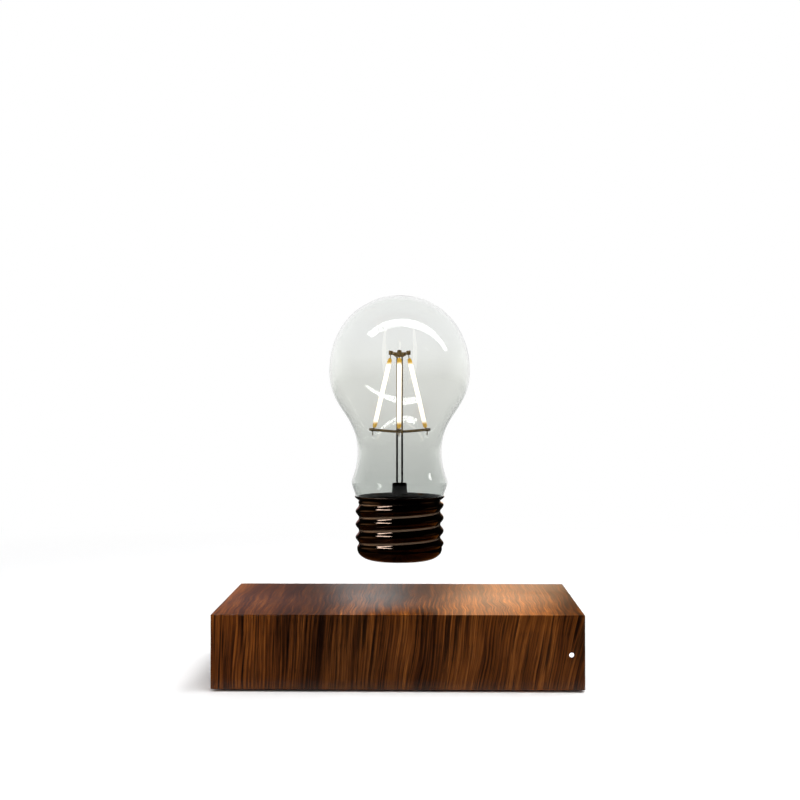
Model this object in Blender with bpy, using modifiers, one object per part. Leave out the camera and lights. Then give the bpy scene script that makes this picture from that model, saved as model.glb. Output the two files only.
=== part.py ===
"""A levitating lamp, in metres, +Z up.

A clear filament bulb hangs in the air above a walnut box. The box hides a ring
magnet, four steering coils and a flat coil that sends power; the bulb's screw
cap hides a round magnet and the coil that takes the power up. The origin is the
middle of the box, on the surface that its rubber feet stand on.
"""

import math

import bmesh
import bpy
from mathutils import Matrix, Vector
from mathutils.geometry import interpolate_bezier

# Clearances
GAP = 0.0003
FINE_GAP = 0.0002
OVERRUN = 0.001

# Wooden box
BASE_WIDTH = 0.150
BASE_DEPTH = 0.100
BASE_HEIGHT = 0.030
BASE_WALL = 0.004
BASE_ROOF = 0.002
BASE_EDGE = 0.0004
POST_RADIUS = 0.0042
POST_INSET = 0.011
POST_SINK = 0.0008

# Bottom cover, its feet and screws
FOOT_STANDOFF = 0.001
FOOT_RADIUS = 0.006
FOOT_POCKET = 0.0006
FOOT_ROUND = 0.0004
FOOT_INSET_X = 0.022
FOOT_INSET_Y = 0.013
COVER_RECESS = 0.0004
COVER_THICKNESS = 0.002
SCREW_SHANK = 0.0013
SCREW_HEAD = 0.0026
SCREW_HEAD_HEIGHT = 0.0011
SCREW_LENGTH = 0.008
SCREW_POINT = 0.001
VENT_WIDTH = 0.0022
VENT_LENGTH = 0.026
VENT_PITCH = 0.0065
VENT_COUNT = 5

# Main board and what it carries
STANDOFF_HEIGHT = 0.004
STANDOFF_RADIUS = 0.003
STANDOFF_INSET = 0.005
BOARD_THICKNESS = 0.0016
BOARD_SIDE_MARGIN = 0.012
BOARD_END_MARGIN = 0.002
BOARD_NOTCH = 0.001
BOARD_SCREW_LENGTH = 0.005
CHIP_LENGTH = 0.0055
CHIP_WIDTH = 0.004
CHIP_HEIGHT = 0.0015
CHIP_PITCH = 0.009
CAPACITOR_RADIUS = 0.004
CAPACITOR_HEIGHT = 0.011
CAPACITOR_PITCH = 0.010
CAPACITOR_EDGE = 0.0004

# Power socket in the rear wall
SOCKET_INSET = 0.027
SOCKET_WIDTH = 0.009
SOCKET_HEIGHT = 0.011
SOCKET_LENGTH = 0.014
SOCKET_EDGE = 0.0004
SOCKET_BORE = 0.0032
SOCKET_BORE_DEPTH = 0.009
SOCKET_PIN = 0.001
SOCKET_PIN_SETBACK = 0.001
SOCKET_WINDOW = 0.0055

# Indicator light in the front wall
LIGHT_INSET = 0.0054
LIGHT_HEIGHT_SHARE = 0.47
LIGHT_RADIUS = 0.0008
LIGHT_COLLAR = 0.0011
LIGHT_COLLAR_DEPTH = 0.0025
LIGHT_LENGTH = 0.006

# Touch switch under the roof
TOUCH_INSET_X = 0.026
TOUCH_INSET_Y = 0.014
TOUCH_RADIUS = 0.0075
TOUCH_THICKNESS = 0.0005
TOUCH_SPRING_RADIUS = 0.003
TOUCH_SPRING_WIRE = 0.0004
TOUCH_SPRING_TURNS = 5

# Levitation module
TRAY_CLEARANCE = 0.0025
PARTS_STRIP_WIDTH = 0.011
TRAY_WALL = 0.0015
YOKE_THICKNESS = 0.0015
RING_BAND = 0.013
RING_EDGE = 0.0005
COIL_SIZE_SHARE = 0.39
COIL_CLEARANCE = 0.001
COIL_COUNT = 4
BOBBIN_FLANGE = 0.0008
BOBBIN_BARREL_SHARE = 0.42
BOBBIN_WALL = 0.001
SENSOR_BOARD_THICKNESS = 0.001
SENSOR_WIDTH = 0.004
SENSOR_THICKNESS = 0.0015
SENSOR_HEIGHT = 0.003
SENSOR_PITCH = 0.0025
SENDER_THICKNESS = 0.002
SENDER_MARGIN = 0.0006

# Bulb: height of the hover, and the threaded cap
HOVER_GAP = 0.0164
CAP_RADIUS = 0.01906
CAP_HEIGHT = 0.028
CAP_WALL = 0.001
CAP_FLOOR = 0.0012
CAP_CORNER = 0.005
THREAD_PITCH = 0.0056
THREAD_DEPTH = 0.00146
THREAD_START = 0.0053
THREAD_RUN_IN = 0.0014
THREAD_RUN_OUT = 0.0026
LIP_RADIUS = 0.01935
LIP_WALL = 0.0004
LIP_HEIGHT = 0.0005
LIP_SEAT = 0.0006
NECK_DROP = 0.002

# Glass: knots are (share of the radius, share of the height, handle shares above and below)
GLASS_RADIUS = 0.0305
GLASS_HEIGHT = 0.0867
GLASS_WALL = 0.0008
GLASS_STEP = 0.0003
CROWN_HANDLE_SHARE = 0.60
GLASS_KNOT_SHARES = (
    (0.000, 1.000, 0.000, 0.000),
    (1.000, 0.622, 0.208, 0.192),
    (0.597, 0.219, 0.192, 0.088),
    (0.679, 0.069, 0.024, 0.022),
    (0.630, 0.0055, 0.013, 0.000),
)

# Inside the cap
RECEIVER_THICKNESS = 0.0015
RECEIVER_BAND_SHARE = 0.6
MAGNET_RADIUS = 0.015
MAGNET_HEIGHT = 0.008
MAGNET_EDGE = 0.0005
HOLDER_LEDGE = 0.002
HOLDER_LIP = 0.0015
HOLDER_WALL = 0.0012
RECTIFIER_THICKNESS = 0.0012
RECTIFIER_PART_SPREAD = 0.008
RECTIFIER_CHIP_LENGTH = 0.005
RECTIFIER_CHIP_WIDTH = 0.004
RECTIFIER_CHIP_HEIGHT = 0.0016
RECTIFIER_CAN_RADIUS = 0.0025
RECTIFIER_CAN_HEIGHT = 0.0055
PLATE_FLANGE = 0.0007
PLATE_PLUG = 0.0033
PLATE_MARGIN = 0.00035

# Stem and posts
STEM_RADIUS = 0.0032
STEM_FLARE = 0.0003
STEM_HEIGHT = 0.005
STEM_ROUND = 0.0005
POST_SPACING = 0.0022
POST_WIRE = 0.00033
POST_SLEEVE = 0.00043

# Spiders and filaments
LOWER_SPIDER_HEIGHT = 0.0272
LOWER_SPIDER_RADIUS = 0.0154
LOWER_CLAMP_CIRCLE_RADIUS = 0.0139
UPPER_SPIDER_HEIGHT = 0.0618
UPPER_SPIDER_RADIUS = 0.0052
UPPER_CLAMP_CIRCLE_RADIUS = 0.0044
SPIDER_HUB_RADIUS = 0.0021
ARM_WIDTH = 0.0011
ARM_THICKNESS = 0.0009
CLAMP_RADIUS = 0.0007
CLAMP_RISE = 0.0006
HOOK_RISE = 0.0013
TAIL_RADIUS = 0.00025
TAIL_LENGTH = 0.0018
FILAMENT_RADIUS = 0.00095
FILAMENT_FEET_CIRCLE_RADIUS = 0.01305
FILAMENT_FEET_HEIGHT = 0.0295
FILAMENT_HEADS_CIRCLE_RADIUS = 0.00473
FILAMENT_HEADS_HEIGHT = 0.0595
LEAD_RADIUS = 0.0002
FILAMENT_ANGLES = {"front": -90, "right": 30, "left": 150}

# Names of the four places of a repeated piece, turning from the rear right
CORNER_NAMES = ("rear_right", "rear_left", "front_left", "front_right")

# Facets
FINE_STEPS = 32
ROUND_STEPS = 26
SMALL_STEPS = 14
TINY_STEPS = 10
ROWS_PER_TURN = 7
ARC_ROWS = 4
GLASS_ROWS = (6, 6, 3, 3)
SPRING_POINTS_PER_TURN = 9
MERGE = 0.00001

# Levels of the box, from the ground up
CAVITY_X = BASE_WIDTH / 2 - BASE_WALL
CAVITY_Y = BASE_DEPTH / 2 - BASE_WALL
WOOD_TOP = FOOT_STANDOFF + BASE_HEIGHT
ROOF_UNDERSIDE = WOOD_TOP - BASE_ROOF
COVER_BOTTOM = FOOT_STANDOFF + COVER_RECESS
COVER_TOP = COVER_BOTTOM + COVER_THICKNESS
POST_X = CAVITY_X - POST_INSET
POST_Y = CAVITY_Y + POST_SINK - POST_RADIUS
BOARD_X = CAVITY_X - BOARD_SIDE_MARGIN
BOARD_Y = CAVITY_Y - BOARD_END_MARGIN
BOARD_BOTTOM = COVER_TOP + STANDOFF_HEIGHT + GAP
BOARD_TOP = BOARD_BOTTOM + BOARD_THICKNESS
STANDOFF_X = BOARD_X - STANDOFF_INSET
STANDOFF_Y = POST_Y - POST_RADIUS - BOARD_NOTCH - STANDOFF_INSET
FOOT_X = CAVITY_X - FOOT_INSET_X
FOOT_Y = CAVITY_Y - FOOT_INSET_Y
SOCKET_X = CAVITY_X - SOCKET_INSET
SOCKET_Z = BOARD_TOP + GAP + SOCKET_HEIGHT / 2
SOCKET_FACE = CAVITY_Y - GAP
LIGHT_X = BASE_WIDTH / 2 - LIGHT_INSET
LIGHT_Z = FOOT_STANDOFF + BASE_HEIGHT * LIGHT_HEIGHT_SHARE
LIGHT_COLLAR_FRONT = -CAVITY_Y - LIGHT_COLLAR_DEPTH
TOUCH_X = CAVITY_X - TOUCH_INSET_X
TOUCH_Y = TOUCH_INSET_Y - CAVITY_Y

# Levels of the levitation module
TRAY_RADIUS = min(CAVITY_Y - TRAY_CLEARANCE, BOARD_X - PARTS_STRIP_WIDTH)
TRAY_BOTTOM = BOARD_TOP + GAP
YOKE_BOTTOM = TRAY_BOTTOM + TRAY_WALL + GAP
RING_BOTTOM = YOKE_BOTTOM + YOKE_THICKNESS + GAP
RING_RADIUS = TRAY_RADIUS - TRAY_WALL - GAP
RING_INNER = RING_RADIUS - RING_BAND
SENDER_TOP = ROOF_UNDERSIDE - GAP
RING_TOP = SENDER_TOP - SENDER_THICKNESS - GAP
SENSOR_BOARD_TOP = ROOF_UNDERSIDE - GAP
SENSOR_BOARD_BOTTOM = SENSOR_BOARD_TOP - SENSOR_BOARD_THICKNESS
BOBBIN_TOP = SENSOR_BOARD_BOTTOM - GAP
COIL_ZONE = RING_INNER - COIL_CLEARANCE
COIL_RADIUS = COIL_ZONE * COIL_SIZE_SHARE
COIL_REACH = COIL_ZONE - COIL_RADIUS
BOBBIN_BARREL = COIL_RADIUS * BOBBIN_BARREL_SHARE
PARTS_X = (BOARD_X + TRAY_RADIUS) / 2

# Levels of the bulb
CAP_BOTTOM = WOOD_TOP + HOVER_GAP
CAP_TOP = CAP_BOTTOM + CAP_HEIGHT
CAP_ROOT = CAP_RADIUS - THREAD_DEPTH
CAP_MEAN = CAP_RADIUS - THREAD_DEPTH / 2
CAP_BORE = CAP_ROOT - CAP_WALL
CAP_FLOOR_TOP = CAP_BOTTOM + CAP_FLOOR
LIP_BORE = LIP_RADIUS - LIP_WALL
LIP_LEDGE = CAP_TOP - LIP_SEAT
GLASS_END_RADIUS = LIP_BORE - GAP
GLASS_END = LIP_LEDGE + GAP
RECEIVER_BOTTOM = CAP_FLOOR_TOP + GAP
MAGNET_BOTTOM = RECEIVER_BOTTOM + RECEIVER_THICKNESS + GAP
MAGNET_TOP = MAGNET_BOTTOM + MAGNET_HEIGHT
PLATE_BOTTOM = LIP_LEDGE + GAP
PLUG_BOTTOM = PLATE_BOTTOM - PLATE_PLUG
HOLDER_BOTTOM = MAGNET_TOP + GAP
HOLDER_TOP = PLUG_BOTTOM - GAP
HOLDER_RADIUS = CAP_BORE - GAP
HOLDER_BORE = HOLDER_RADIUS - HOLDER_WALL
RECTIFIER_BOTTOM = HOLDER_BOTTOM + HOLDER_LEDGE + GAP
RECTIFIER_TOP = RECTIFIER_BOTTOM + RECTIFIER_THICKNESS
STEM_BOTTOM = PLATE_BOTTOM + PLATE_FLANGE + GAP
STEM_TOP = STEM_BOTTOM + STEM_HEIGHT
LOWER_SPIDER_Z = CAP_TOP + LOWER_SPIDER_HEIGHT
UPPER_SPIDER_Z = CAP_TOP + UPPER_SPIDER_HEIGHT
POST_SHOULDER = LOWER_SPIDER_Z - ARM_THICKNESS / 2 - GAP
POST_TOP = UPPER_SPIDER_Z - ARM_THICKNESS / 2 - GAP
POST_HOLE = POST_WIRE + FINE_GAP
SLEEVE_HOLE = POST_SLEEVE + FINE_GAP
POST_PLACES = [(-POST_SPACING / 2, 0), (POST_SPACING / 2, 0)]

for old in list(bpy.data.objects):
    bpy.data.objects.remove(old)

lamp = bpy.data.collections.new("levitating_lamp")
cutters = bpy.data.collections.new("cutters")
for collection in (lamp, cutters):
    bpy.context.scene.collection.children.link(collection)


def finish(name, colour, roughness, metallic=0.0, alpha=1.0, glow=0.0):
    """A Principled material in the piece's own colour."""
    material = bpy.data.materials.new(name)
    material.use_nodes = True
    shader = material.node_tree.nodes["Principled BSDF"]
    shader.inputs["Base Color"].default_value = (*colour, 1.0)
    shader.inputs["Roughness"].default_value = roughness
    shader.inputs["Metallic"].default_value = metallic
    shader.inputs["Alpha"].default_value = alpha
    shader.inputs["Emission Color"].default_value = (*colour, 1.0)
    shader.inputs["Emission Strength"].default_value = glow
    material.diffuse_color = (*colour, alpha)
    return material


def body_empty(name, place):
    """An empty on a body's own axis, to which the body's pieces are parented."""
    empty = bpy.data.objects.new(name, None)
    empty.location = place
    lamp.objects.link(empty)
    return empty


def carry(obj, body, material):
    """Gives a piece its material and hangs it on its body without moving it."""
    obj.data.materials.clear()
    obj.data.materials.append(material)
    obj.parent = body
    obj.matrix_parent_inverse = Matrix.Translation(-Vector(body.location))
    return obj


def object_of(name, mesh, collection=lamp):
    obj = bpy.data.objects.new(name, mesh)
    collection.objects.link(obj)
    return obj


def as_cutter(obj):
    """Moves a helper shape out of the model, into the cutters."""
    for collection in obj.users_collection:
        collection.objects.unlink(obj)
    cutters.objects.link(obj)
    obj.hide_render = True
    obj.display_type = "WIRE"
    return obj


def mesh_from(shape, name):
    mesh = bpy.data.meshes.new(name)
    shape.to_mesh(mesh)
    shape.free()
    return mesh


def box(name, size, centre, edge=0.0):
    """A box at its real size, with small round edges if it has them."""
    shape = bmesh.new()
    bmesh.ops.create_cube(shape, size=1.0)
    bmesh.ops.scale(shape, vec=size, verts=shape.verts)
    obj = object_of(name, mesh_from(shape, name))
    obj.location = centre
    if edge:
        bevel = obj.modifiers.new("edges", "BEVEL")
        bevel.width = edge
        bevel.segments = 2
        bevel.limit_method = "ANGLE"
    return obj


def rod(name, radius, low, high, steps=SMALL_STEPS, tip_radius=None):
    """A round bar, or a taper, from one point to another."""
    low, high = Vector(low), Vector(high)
    shape = bmesh.new()
    bmesh.ops.create_cone(
        shape,
        cap_ends=True,
        segments=steps,
        radius1=radius,
        radius2=radius if tip_radius is None else tip_radius,
        depth=(high - low).length,
    )
    mesh = mesh_from(shape, name)
    mesh.shade_smooth()
    mesh.set_sharp_from_angle(angle=math.radians(40))
    obj = object_of(name, mesh)
    obj.rotation_euler = (high - low).to_track_quat("Z", "Y").to_euler()
    obj.location = (low + high) / 2
    return obj


def turned(name, outline, steps=ROUND_STEPS, ring=False, centre=(0, 0, 0)):
    """A turned shape. The outline is (radius, height), down its outer side."""
    mesh = bpy.data.meshes.new(name)
    links = [(i, i + 1) for i in range(len(outline) - 1)]
    if ring:
        links.append((len(outline) - 1, 0))
    mesh.from_pydata([(radius, 0, height) for radius, height in outline], links, [])
    obj = object_of(name, mesh)
    obj.location = centre
    spin = obj.modifiers.new("turn", "SCREW")
    spin.axis = "Z"
    spin.steps = steps
    spin.render_steps = steps
    spin.use_merge_vertices = True
    spin.merge_threshold = MERGE
    spin.use_smooth_shade = True
    return obj


def baked(obj):
    """Turns an object's modifiers or curve into a plain mesh with welded caps."""
    bpy.context.view_layer.update()
    graph = bpy.context.evaluated_depsgraph_get()
    mesh = bpy.data.meshes.new_from_object(obj.evaluated_get(graph))
    shape = bmesh.new()
    shape.from_mesh(mesh)
    bmesh.ops.remove_doubles(shape, verts=shape.verts, dist=MERGE)
    shape.to_mesh(mesh)
    shape.free()
    plain = object_of("plain", mesh)
    plain.matrix_world = obj.matrix_world
    name = obj.name
    bpy.data.objects.remove(obj)
    plain.name = name
    return plain


def group(name, pieces):
    """Several helper shapes in one object, so that they cut or join together."""
    shape = bmesh.new()
    for piece in pieces:
        piece = baked(piece)
        piece.data.transform(piece.matrix_world)
        shape.from_mesh(piece.data)
        bpy.data.objects.remove(piece)
    mesh = mesh_from(shape, name)
    mesh.set_sharp_from_angle(angle=math.radians(40))
    return object_of(name, mesh)


def combine(obj, tool, operation):
    """A Boolean with a helper shape: DIFFERENCE cuts, UNION joins."""
    modifier = obj.modifiers.new(tool.name, "BOOLEAN")
    modifier.operation = operation
    modifier.solver = "EXACT"
    modifier.object = as_cutter(tool)
    return obj


def drill(obj, name, radius, places, low, high, steps=SMALL_STEPS):
    """Cuts the same upright hole at each place, from one height to another."""
    holes = []
    for number, (x, y) in enumerate(places):
        holes.append(rod(f"{name}_{number}", radius, (x, y, low), (x, y, high), steps))
    return combine(obj, group(name, holes), "DIFFERENCE")


def corners(x, y):
    """The four places that mirror one another about the middle."""
    return [(x, y), (-x, y), (-x, -y), (x, -y)]


def arc(centre, radius, start, end, rows):
    """Points of a turned outline along an arc, both ends left out."""
    points = []
    for row in range(1, rows):
        angle = math.radians(start + (end - start) * row / rows)
        points.append(
            (
                centre[0] + radius * math.cos(angle),
                centre[1] + radius * math.sin(angle),
            )
        )
    return points


def disc_outline(radius, low, high, edge=0.0):
    """A solid disc, with chamfered rims if an edge is given."""
    if not edge:
        return [(0, high), (radius, high), (radius, low), (0, low)]
    return [
        (0, high),
        (radius - edge, high),
        (radius, high - edge),
        (radius, low + edge),
        (radius - edge, low),
        (0, low),
    ]


def ring_outline(outer, inner, low, high, edge=0.0):
    """A flat ring, with chamfered outer and inner rims if an edge is given."""
    if not edge:
        return [(inner, high), (outer, high), (outer, low), (inner, low)]
    return [
        (inner + edge, high),
        (outer - edge, high),
        (outer, high - edge),
        (outer, low + edge),
        (outer - edge, low),
        (inner + edge, low),
        (inner, low + edge),
        (inner, high - edge),
    ]


def flat_plate(name, outlines, thickness, height):
    """A plate from flat outlines; an outline inside another is a hole."""
    curve = bpy.data.curves.new(name, "CURVE")
    curve.dimensions = "2D"
    curve.fill_mode = "BOTH"
    curve.extrude = thickness / 2
    for outline in outlines:
        spline = curve.splines.new("POLY")
        spline.points.add(len(outline) - 1)
        for point, (x, y) in zip(spline.points, outline):
            point.co = (x, y, 0, 1)
        spline.use_cyclic_u = True
    obj = object_of(name, curve)
    obj.location = (0, 0, height)
    return baked(obj)


def circle(x, y, radius, steps=TINY_STEPS):
    """The outline of a round hole."""
    turn = 2 * math.pi / steps
    return [
        (x + radius * math.cos(turn * i), y + radius * math.sin(turn * i))
        for i in range(steps)
    ]


def polar(angle, reach, height):
    """A point at an angle in degrees about the bulb's axis."""
    turn = math.radians(angle)
    return Vector((reach * math.cos(turn), reach * math.sin(turn), height))


# Materials

WALNUT = finish("walnut_veneer", (0.075, 0.030, 0.012), 0.35)
BLACK_PLASTIC = finish("black_plastic", (0.012, 0.012, 0.013), 0.45)
TRAY_PLASTIC = finish("tray_plastic", (0.55, 0.55, 0.52), 0.5)
RUBBER = finish("rubber", (0.02, 0.02, 0.02), 0.85)
STEEL = finish("zinc_steel", (0.55, 0.56, 0.58), 0.35, 1.0)
IRON = finish("soft_iron", (0.30, 0.30, 0.31), 0.5, 1.0)
FERRITE = finish("ferrite", (0.035, 0.035, 0.04), 0.6)
NICKEL = finish("nickel_magnet", (0.70, 0.69, 0.66), 0.2, 1.0)
COPPER = finish("copper_winding", (0.70, 0.28, 0.12), 0.35, 1.0)
BOARD = finish("green_board", (0.01, 0.12, 0.05), 0.4)
CHIP = finish("chip_resin", (0.015, 0.015, 0.017), 0.5)
CAN = finish("capacitor_can", (0.60, 0.61, 0.63), 0.3, 1.0)
LIGHT = finish("indicator_white", (0.95, 0.97, 1.0), 0.3, glow=2.0)
CAP_BRONZE = finish("black_bronze", (0.020, 0.012, 0.009), 0.15, 0.6)
GLASS = finish("clear_glass", (0.80, 0.84, 0.83), 0.03, alpha=0.25)
BRONZE = finish("bronze_wire", (0.16, 0.11, 0.05), 0.35, 0.9)
POST_METAL = finish("post_black", (0.02, 0.019, 0.018), 0.4, 0.3)
PHOSPHOR = finish("lit_phosphor", (1.0, 0.93, 0.80), 0.6, glow=4.0)

base_body = body_empty("base_body", (0, 0, 0))
float_body = body_empty("float_body", (0, 0, CAP_BOTTOM))
bulb_body = body_empty("bulb_body", (0, 0, CAP_BOTTOM))


# Wooden box and bottom cover


def base_shell():
    """The walnut box: five walls, open below, with four screw posts inside."""
    shell = box(
        "base_shell",
        (BASE_WIDTH, BASE_DEPTH, BASE_HEIGHT),
        (0, 0, FOOT_STANDOFF + BASE_HEIGHT / 2),
        BASE_EDGE,
    )
    low = FOOT_STANDOFF - OVERRUN
    cavity = box(
        "cavity",
        (2 * CAVITY_X, 2 * CAVITY_Y, ROOF_UNDERSIDE - low),
        (0, 0, (ROOF_UNDERSIDE + low) / 2),
    )
    combine(shell, cavity, "DIFFERENCE")
    posts = []
    for number, (x, y) in enumerate(corners(POST_X, POST_Y)):
        foot = (x, y, COVER_TOP + GAP)
        head = (x, y, ROOF_UNDERSIDE + OVERRUN)
        posts.append(rod(f"post_{number}", POST_RADIUS, foot, head))
    combine(shell, group("screw_posts", posts), "UNION")
    pilot_top = COVER_BOTTOM + SCREW_LENGTH + GAP
    drill(
        shell,
        "post_pilots",
        SCREW_SHANK + FINE_GAP,
        corners(POST_X, POST_Y),
        COVER_TOP,
        pilot_top,
        TINY_STEPS,
    )
    socket = rod(
        "socket_window",
        SOCKET_WINDOW,
        (SOCKET_X, CAVITY_Y - OVERRUN, SOCKET_Z),
        (SOCKET_X, BASE_DEPTH / 2 + OVERRUN, SOCKET_Z),
        ROUND_STEPS,
    )
    combine(shell, socket, "DIFFERENCE")
    window = rod(
        "light_window",
        LIGHT_RADIUS + FINE_GAP,
        (LIGHT_X, -BASE_DEPTH / 2 - OVERRUN, LIGHT_Z),
        (LIGHT_X, -CAVITY_Y + OVERRUN, LIGHT_Z),
        TINY_STEPS,
    )
    combine(shell, window, "DIFFERENCE")
    seat = rod(
        "light_seat",
        LIGHT_COLLAR + FINE_GAP,
        (LIGHT_X, LIGHT_COLLAR_FRONT - GAP, LIGHT_Z),
        (LIGHT_X, -CAVITY_Y + OVERRUN, LIGHT_Z),
        TINY_STEPS,
    )
    combine(shell, seat, "DIFFERENCE")
    return carry(shell, base_body, WALNUT)


def bottom_cover():
    """The plate that closes the box, with standoffs, foot pockets and vents."""
    cover = box(
        "bottom_cover",
        (2 * (CAVITY_X - GAP), 2 * (CAVITY_Y - GAP), COVER_THICKNESS),
        (0, 0, (COVER_BOTTOM + COVER_TOP) / 2),
    )
    standoffs = []
    for number, (x, y) in enumerate(corners(STANDOFF_X, STANDOFF_Y)):
        foot = (x, y, COVER_TOP - COVER_THICKNESS / 2)
        head = (x, y, COVER_TOP + STANDOFF_HEIGHT)
        standoffs.append(rod(f"standoff_{number}", STANDOFF_RADIUS, foot, head))
    combine(cover, group("standoffs", standoffs), "UNION")
    drill(
        cover,
        "foot_pockets",
        FOOT_RADIUS + GAP,
        corners(FOOT_X, FOOT_Y),
        COVER_BOTTOM - OVERRUN,
        COVER_BOTTOM + FOOT_POCKET,
        SMALL_STEPS,
    )
    drill(
        cover,
        "screw_holes",
        SCREW_SHANK + GAP,
        corners(POST_X, POST_Y),
        COVER_BOTTOM - OVERRUN,
        COVER_TOP + OVERRUN,
        TINY_STEPS,
    )
    drill(
        cover,
        "screw_head_pockets",
        SCREW_HEAD + GAP,
        corners(POST_X, POST_Y),
        COVER_BOTTOM - OVERRUN,
        COVER_BOTTOM + SCREW_HEAD_HEIGHT + GAP,
        SMALL_STEPS,
    )
    pilot_low = COVER_TOP + STANDOFF_HEIGHT + BOARD_THICKNESS - BOARD_SCREW_LENGTH
    drill(
        cover,
        "standoff_pilots",
        SCREW_SHANK + FINE_GAP,
        corners(STANDOFF_X, STANDOFF_Y),
        pilot_low,
        COVER_TOP + STANDOFF_HEIGHT + OVERRUN,
        TINY_STEPS,
    )
    vents = []
    for number in range(VENT_COUNT):
        x = (number - (VENT_COUNT - 1) / 2) * VENT_PITCH
        size = (VENT_WIDTH, VENT_LENGTH, COVER_THICKNESS + 2 * OVERRUN)
        centre = (x, 0, (COVER_BOTTOM + COVER_TOP) / 2)
        vents.append(box(f"vent_{number}", size, centre))
    combine(cover, group("vents", vents), "DIFFERENCE")
    return carry(cover, base_body, BLACK_PLASTIC)


def rubber_feet():
    """Four stuck-on rubber buttons, each with a chamfered lower rim."""
    outline = [
        (0, COVER_BOTTOM + FOOT_POCKET - GAP),
        (FOOT_RADIUS, COVER_BOTTOM + FOOT_POCKET - GAP),
        (FOOT_RADIUS, FOOT_ROUND),
        (FOOT_RADIUS - FOOT_ROUND, 0),
        (0, 0),
    ]
    for corner, (x, y) in zip(CORNER_NAMES, corners(FOOT_X, FOOT_Y)):
        foot = turned(f"rubber_foot_{corner}", outline, SMALL_STEPS, centre=(x, y, 0))
        carry(foot, base_body, RUBBER)


def screw(name, x, y, head_face, length, up):
    """A screw whose head faces down when it is driven up, and up otherwise."""
    outline = [
        (0, 0),
        (SCREW_HEAD, 0),
        (SCREW_HEAD, -SCREW_HEAD_HEIGHT),
        (SCREW_SHANK, -SCREW_HEAD_HEIGHT),
        (SCREW_SHANK, SCREW_POINT - length),
        (0, -length),
    ]
    if up:
        outline = [(radius, -height) for radius, height in reversed(outline)]
    return turned(name, outline, TINY_STEPS, centre=(x, y, head_face))


def cover_screws():
    """Four screws from below, through the cover into the box's posts."""
    for corner, (x, y) in zip(CORNER_NAMES, corners(POST_X, POST_Y)):
        name = f"cover_screw_{corner}"
        carry(screw(name, x, y, COVER_BOTTOM, SCREW_LENGTH, True), base_body, STEEL)


# Electronics


def main_board():
    """The driver board, notched at its corners to pass the screw posts."""
    board = box(
        "main_board",
        (2 * BOARD_X, 2 * BOARD_Y, BOARD_THICKNESS),
        (0, 0, (BOARD_BOTTOM + BOARD_TOP) / 2),
    )
    low, high = BOARD_BOTTOM - OVERRUN, BOARD_TOP + OVERRUN
    notch = POST_RADIUS + BOARD_NOTCH
    drill(board, "post_notches", notch, corners(POST_X, POST_Y), low, high)
    holes = corners(STANDOFF_X, STANDOFF_Y)
    drill(board, "board_holes", SCREW_SHANK + GAP, holes, low, high, TINY_STEPS)
    return carry(board, base_body, BOARD)


def board_screws():
    """Four short screws that hold the board down on the standoffs."""
    face = BOARD_TOP + GAP + SCREW_HEAD_HEIGHT
    for corner, (x, y) in zip(CORNER_NAMES, corners(STANDOFF_X, STANDOFF_Y)):
        name = f"board_screw_{corner}"
        carry(screw(name, x, y, face, BOARD_SCREW_LENGTH, False), base_body, STEEL)


def driver_chips():
    """The two coil drivers, one for each pair of coils, beside the magnet tray."""
    for place, side in (("front", -1), ("rear", 1)):
        size = (CHIP_WIDTH, CHIP_LENGTH, CHIP_HEIGHT)
        height = BOARD_TOP + GAP + CHIP_HEIGHT / 2
        centre = (PARTS_X, side * CHIP_PITCH / 2, height)
        carry(box(f"driver_chip_{place}", size, centre), base_body, CHIP)


def capacitors():
    """Two electrolytic cans on the other side of the tray."""
    low = BOARD_TOP + GAP
    outline = disc_outline(CAPACITOR_RADIUS, low, low + CAPACITOR_HEIGHT, CAPACITOR_EDGE)
    for place, side in (("front", -1), ("rear", 1)):
        centre = (-PARTS_X, side * CAPACITOR_PITCH / 2, 0)
        can = turned(f"capacitor_{place}", outline, SMALL_STEPS, centre=centre)
        carry(can, base_body, CAN)


def power_socket():
    """A barrel socket behind the round window in the rear wall."""
    socket = box(
        "power_socket",
        (SOCKET_WIDTH, SOCKET_LENGTH, SOCKET_HEIGHT),
        (SOCKET_X, SOCKET_FACE - SOCKET_LENGTH / 2, SOCKET_Z),
        SOCKET_EDGE,
    )
    mouth = turned(
        "socket_bore",
        [
            (0, OVERRUN),
            (SOCKET_BORE, OVERRUN),
            (SOCKET_BORE, -SOCKET_BORE_DEPTH),
            (SOCKET_PIN, -SOCKET_BORE_DEPTH),
            (SOCKET_PIN, -SOCKET_PIN_SETBACK),
            (0, -SOCKET_PIN_SETBACK),
        ],
        SMALL_STEPS,
        centre=(SOCKET_X, SOCKET_FACE, SOCKET_Z),
    )
    mouth.rotation_euler = (math.radians(-90), 0, 0)
    combine(socket, mouth, "DIFFERENCE")
    return carry(socket, base_body, BLACK_PLASTIC)


def indicator_light():
    """A small white lamp in the front wall: a lens flush with the wood, and a collar."""
    tip = BASE_DEPTH / 2
    collar = -LIGHT_COLLAR_FRONT
    light = turned(
        "indicator_light",
        [
            (0, tip),
            (LIGHT_RADIUS, tip),
            (LIGHT_RADIUS, collar),
            (LIGHT_COLLAR, collar),
            (LIGHT_COLLAR, tip - LIGHT_LENGTH),
            (0, tip - LIGHT_LENGTH),
        ],
        TINY_STEPS,
        centre=(LIGHT_X, 0, LIGHT_Z),
    )
    light.rotation_euler = (math.radians(90), 0, 0)
    return carry(light, base_body, LIGHT)


def touch_plate():
    """The copper disc that feels a finger through the wood."""
    high = ROOF_UNDERSIDE - GAP
    outline = disc_outline(TOUCH_RADIUS, high - TOUCH_THICKNESS, high)
    plate = turned("touch_plate", outline, SMALL_STEPS, centre=(TOUCH_X, TOUCH_Y, 0))
    return carry(plate, base_body, COPPER)


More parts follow.
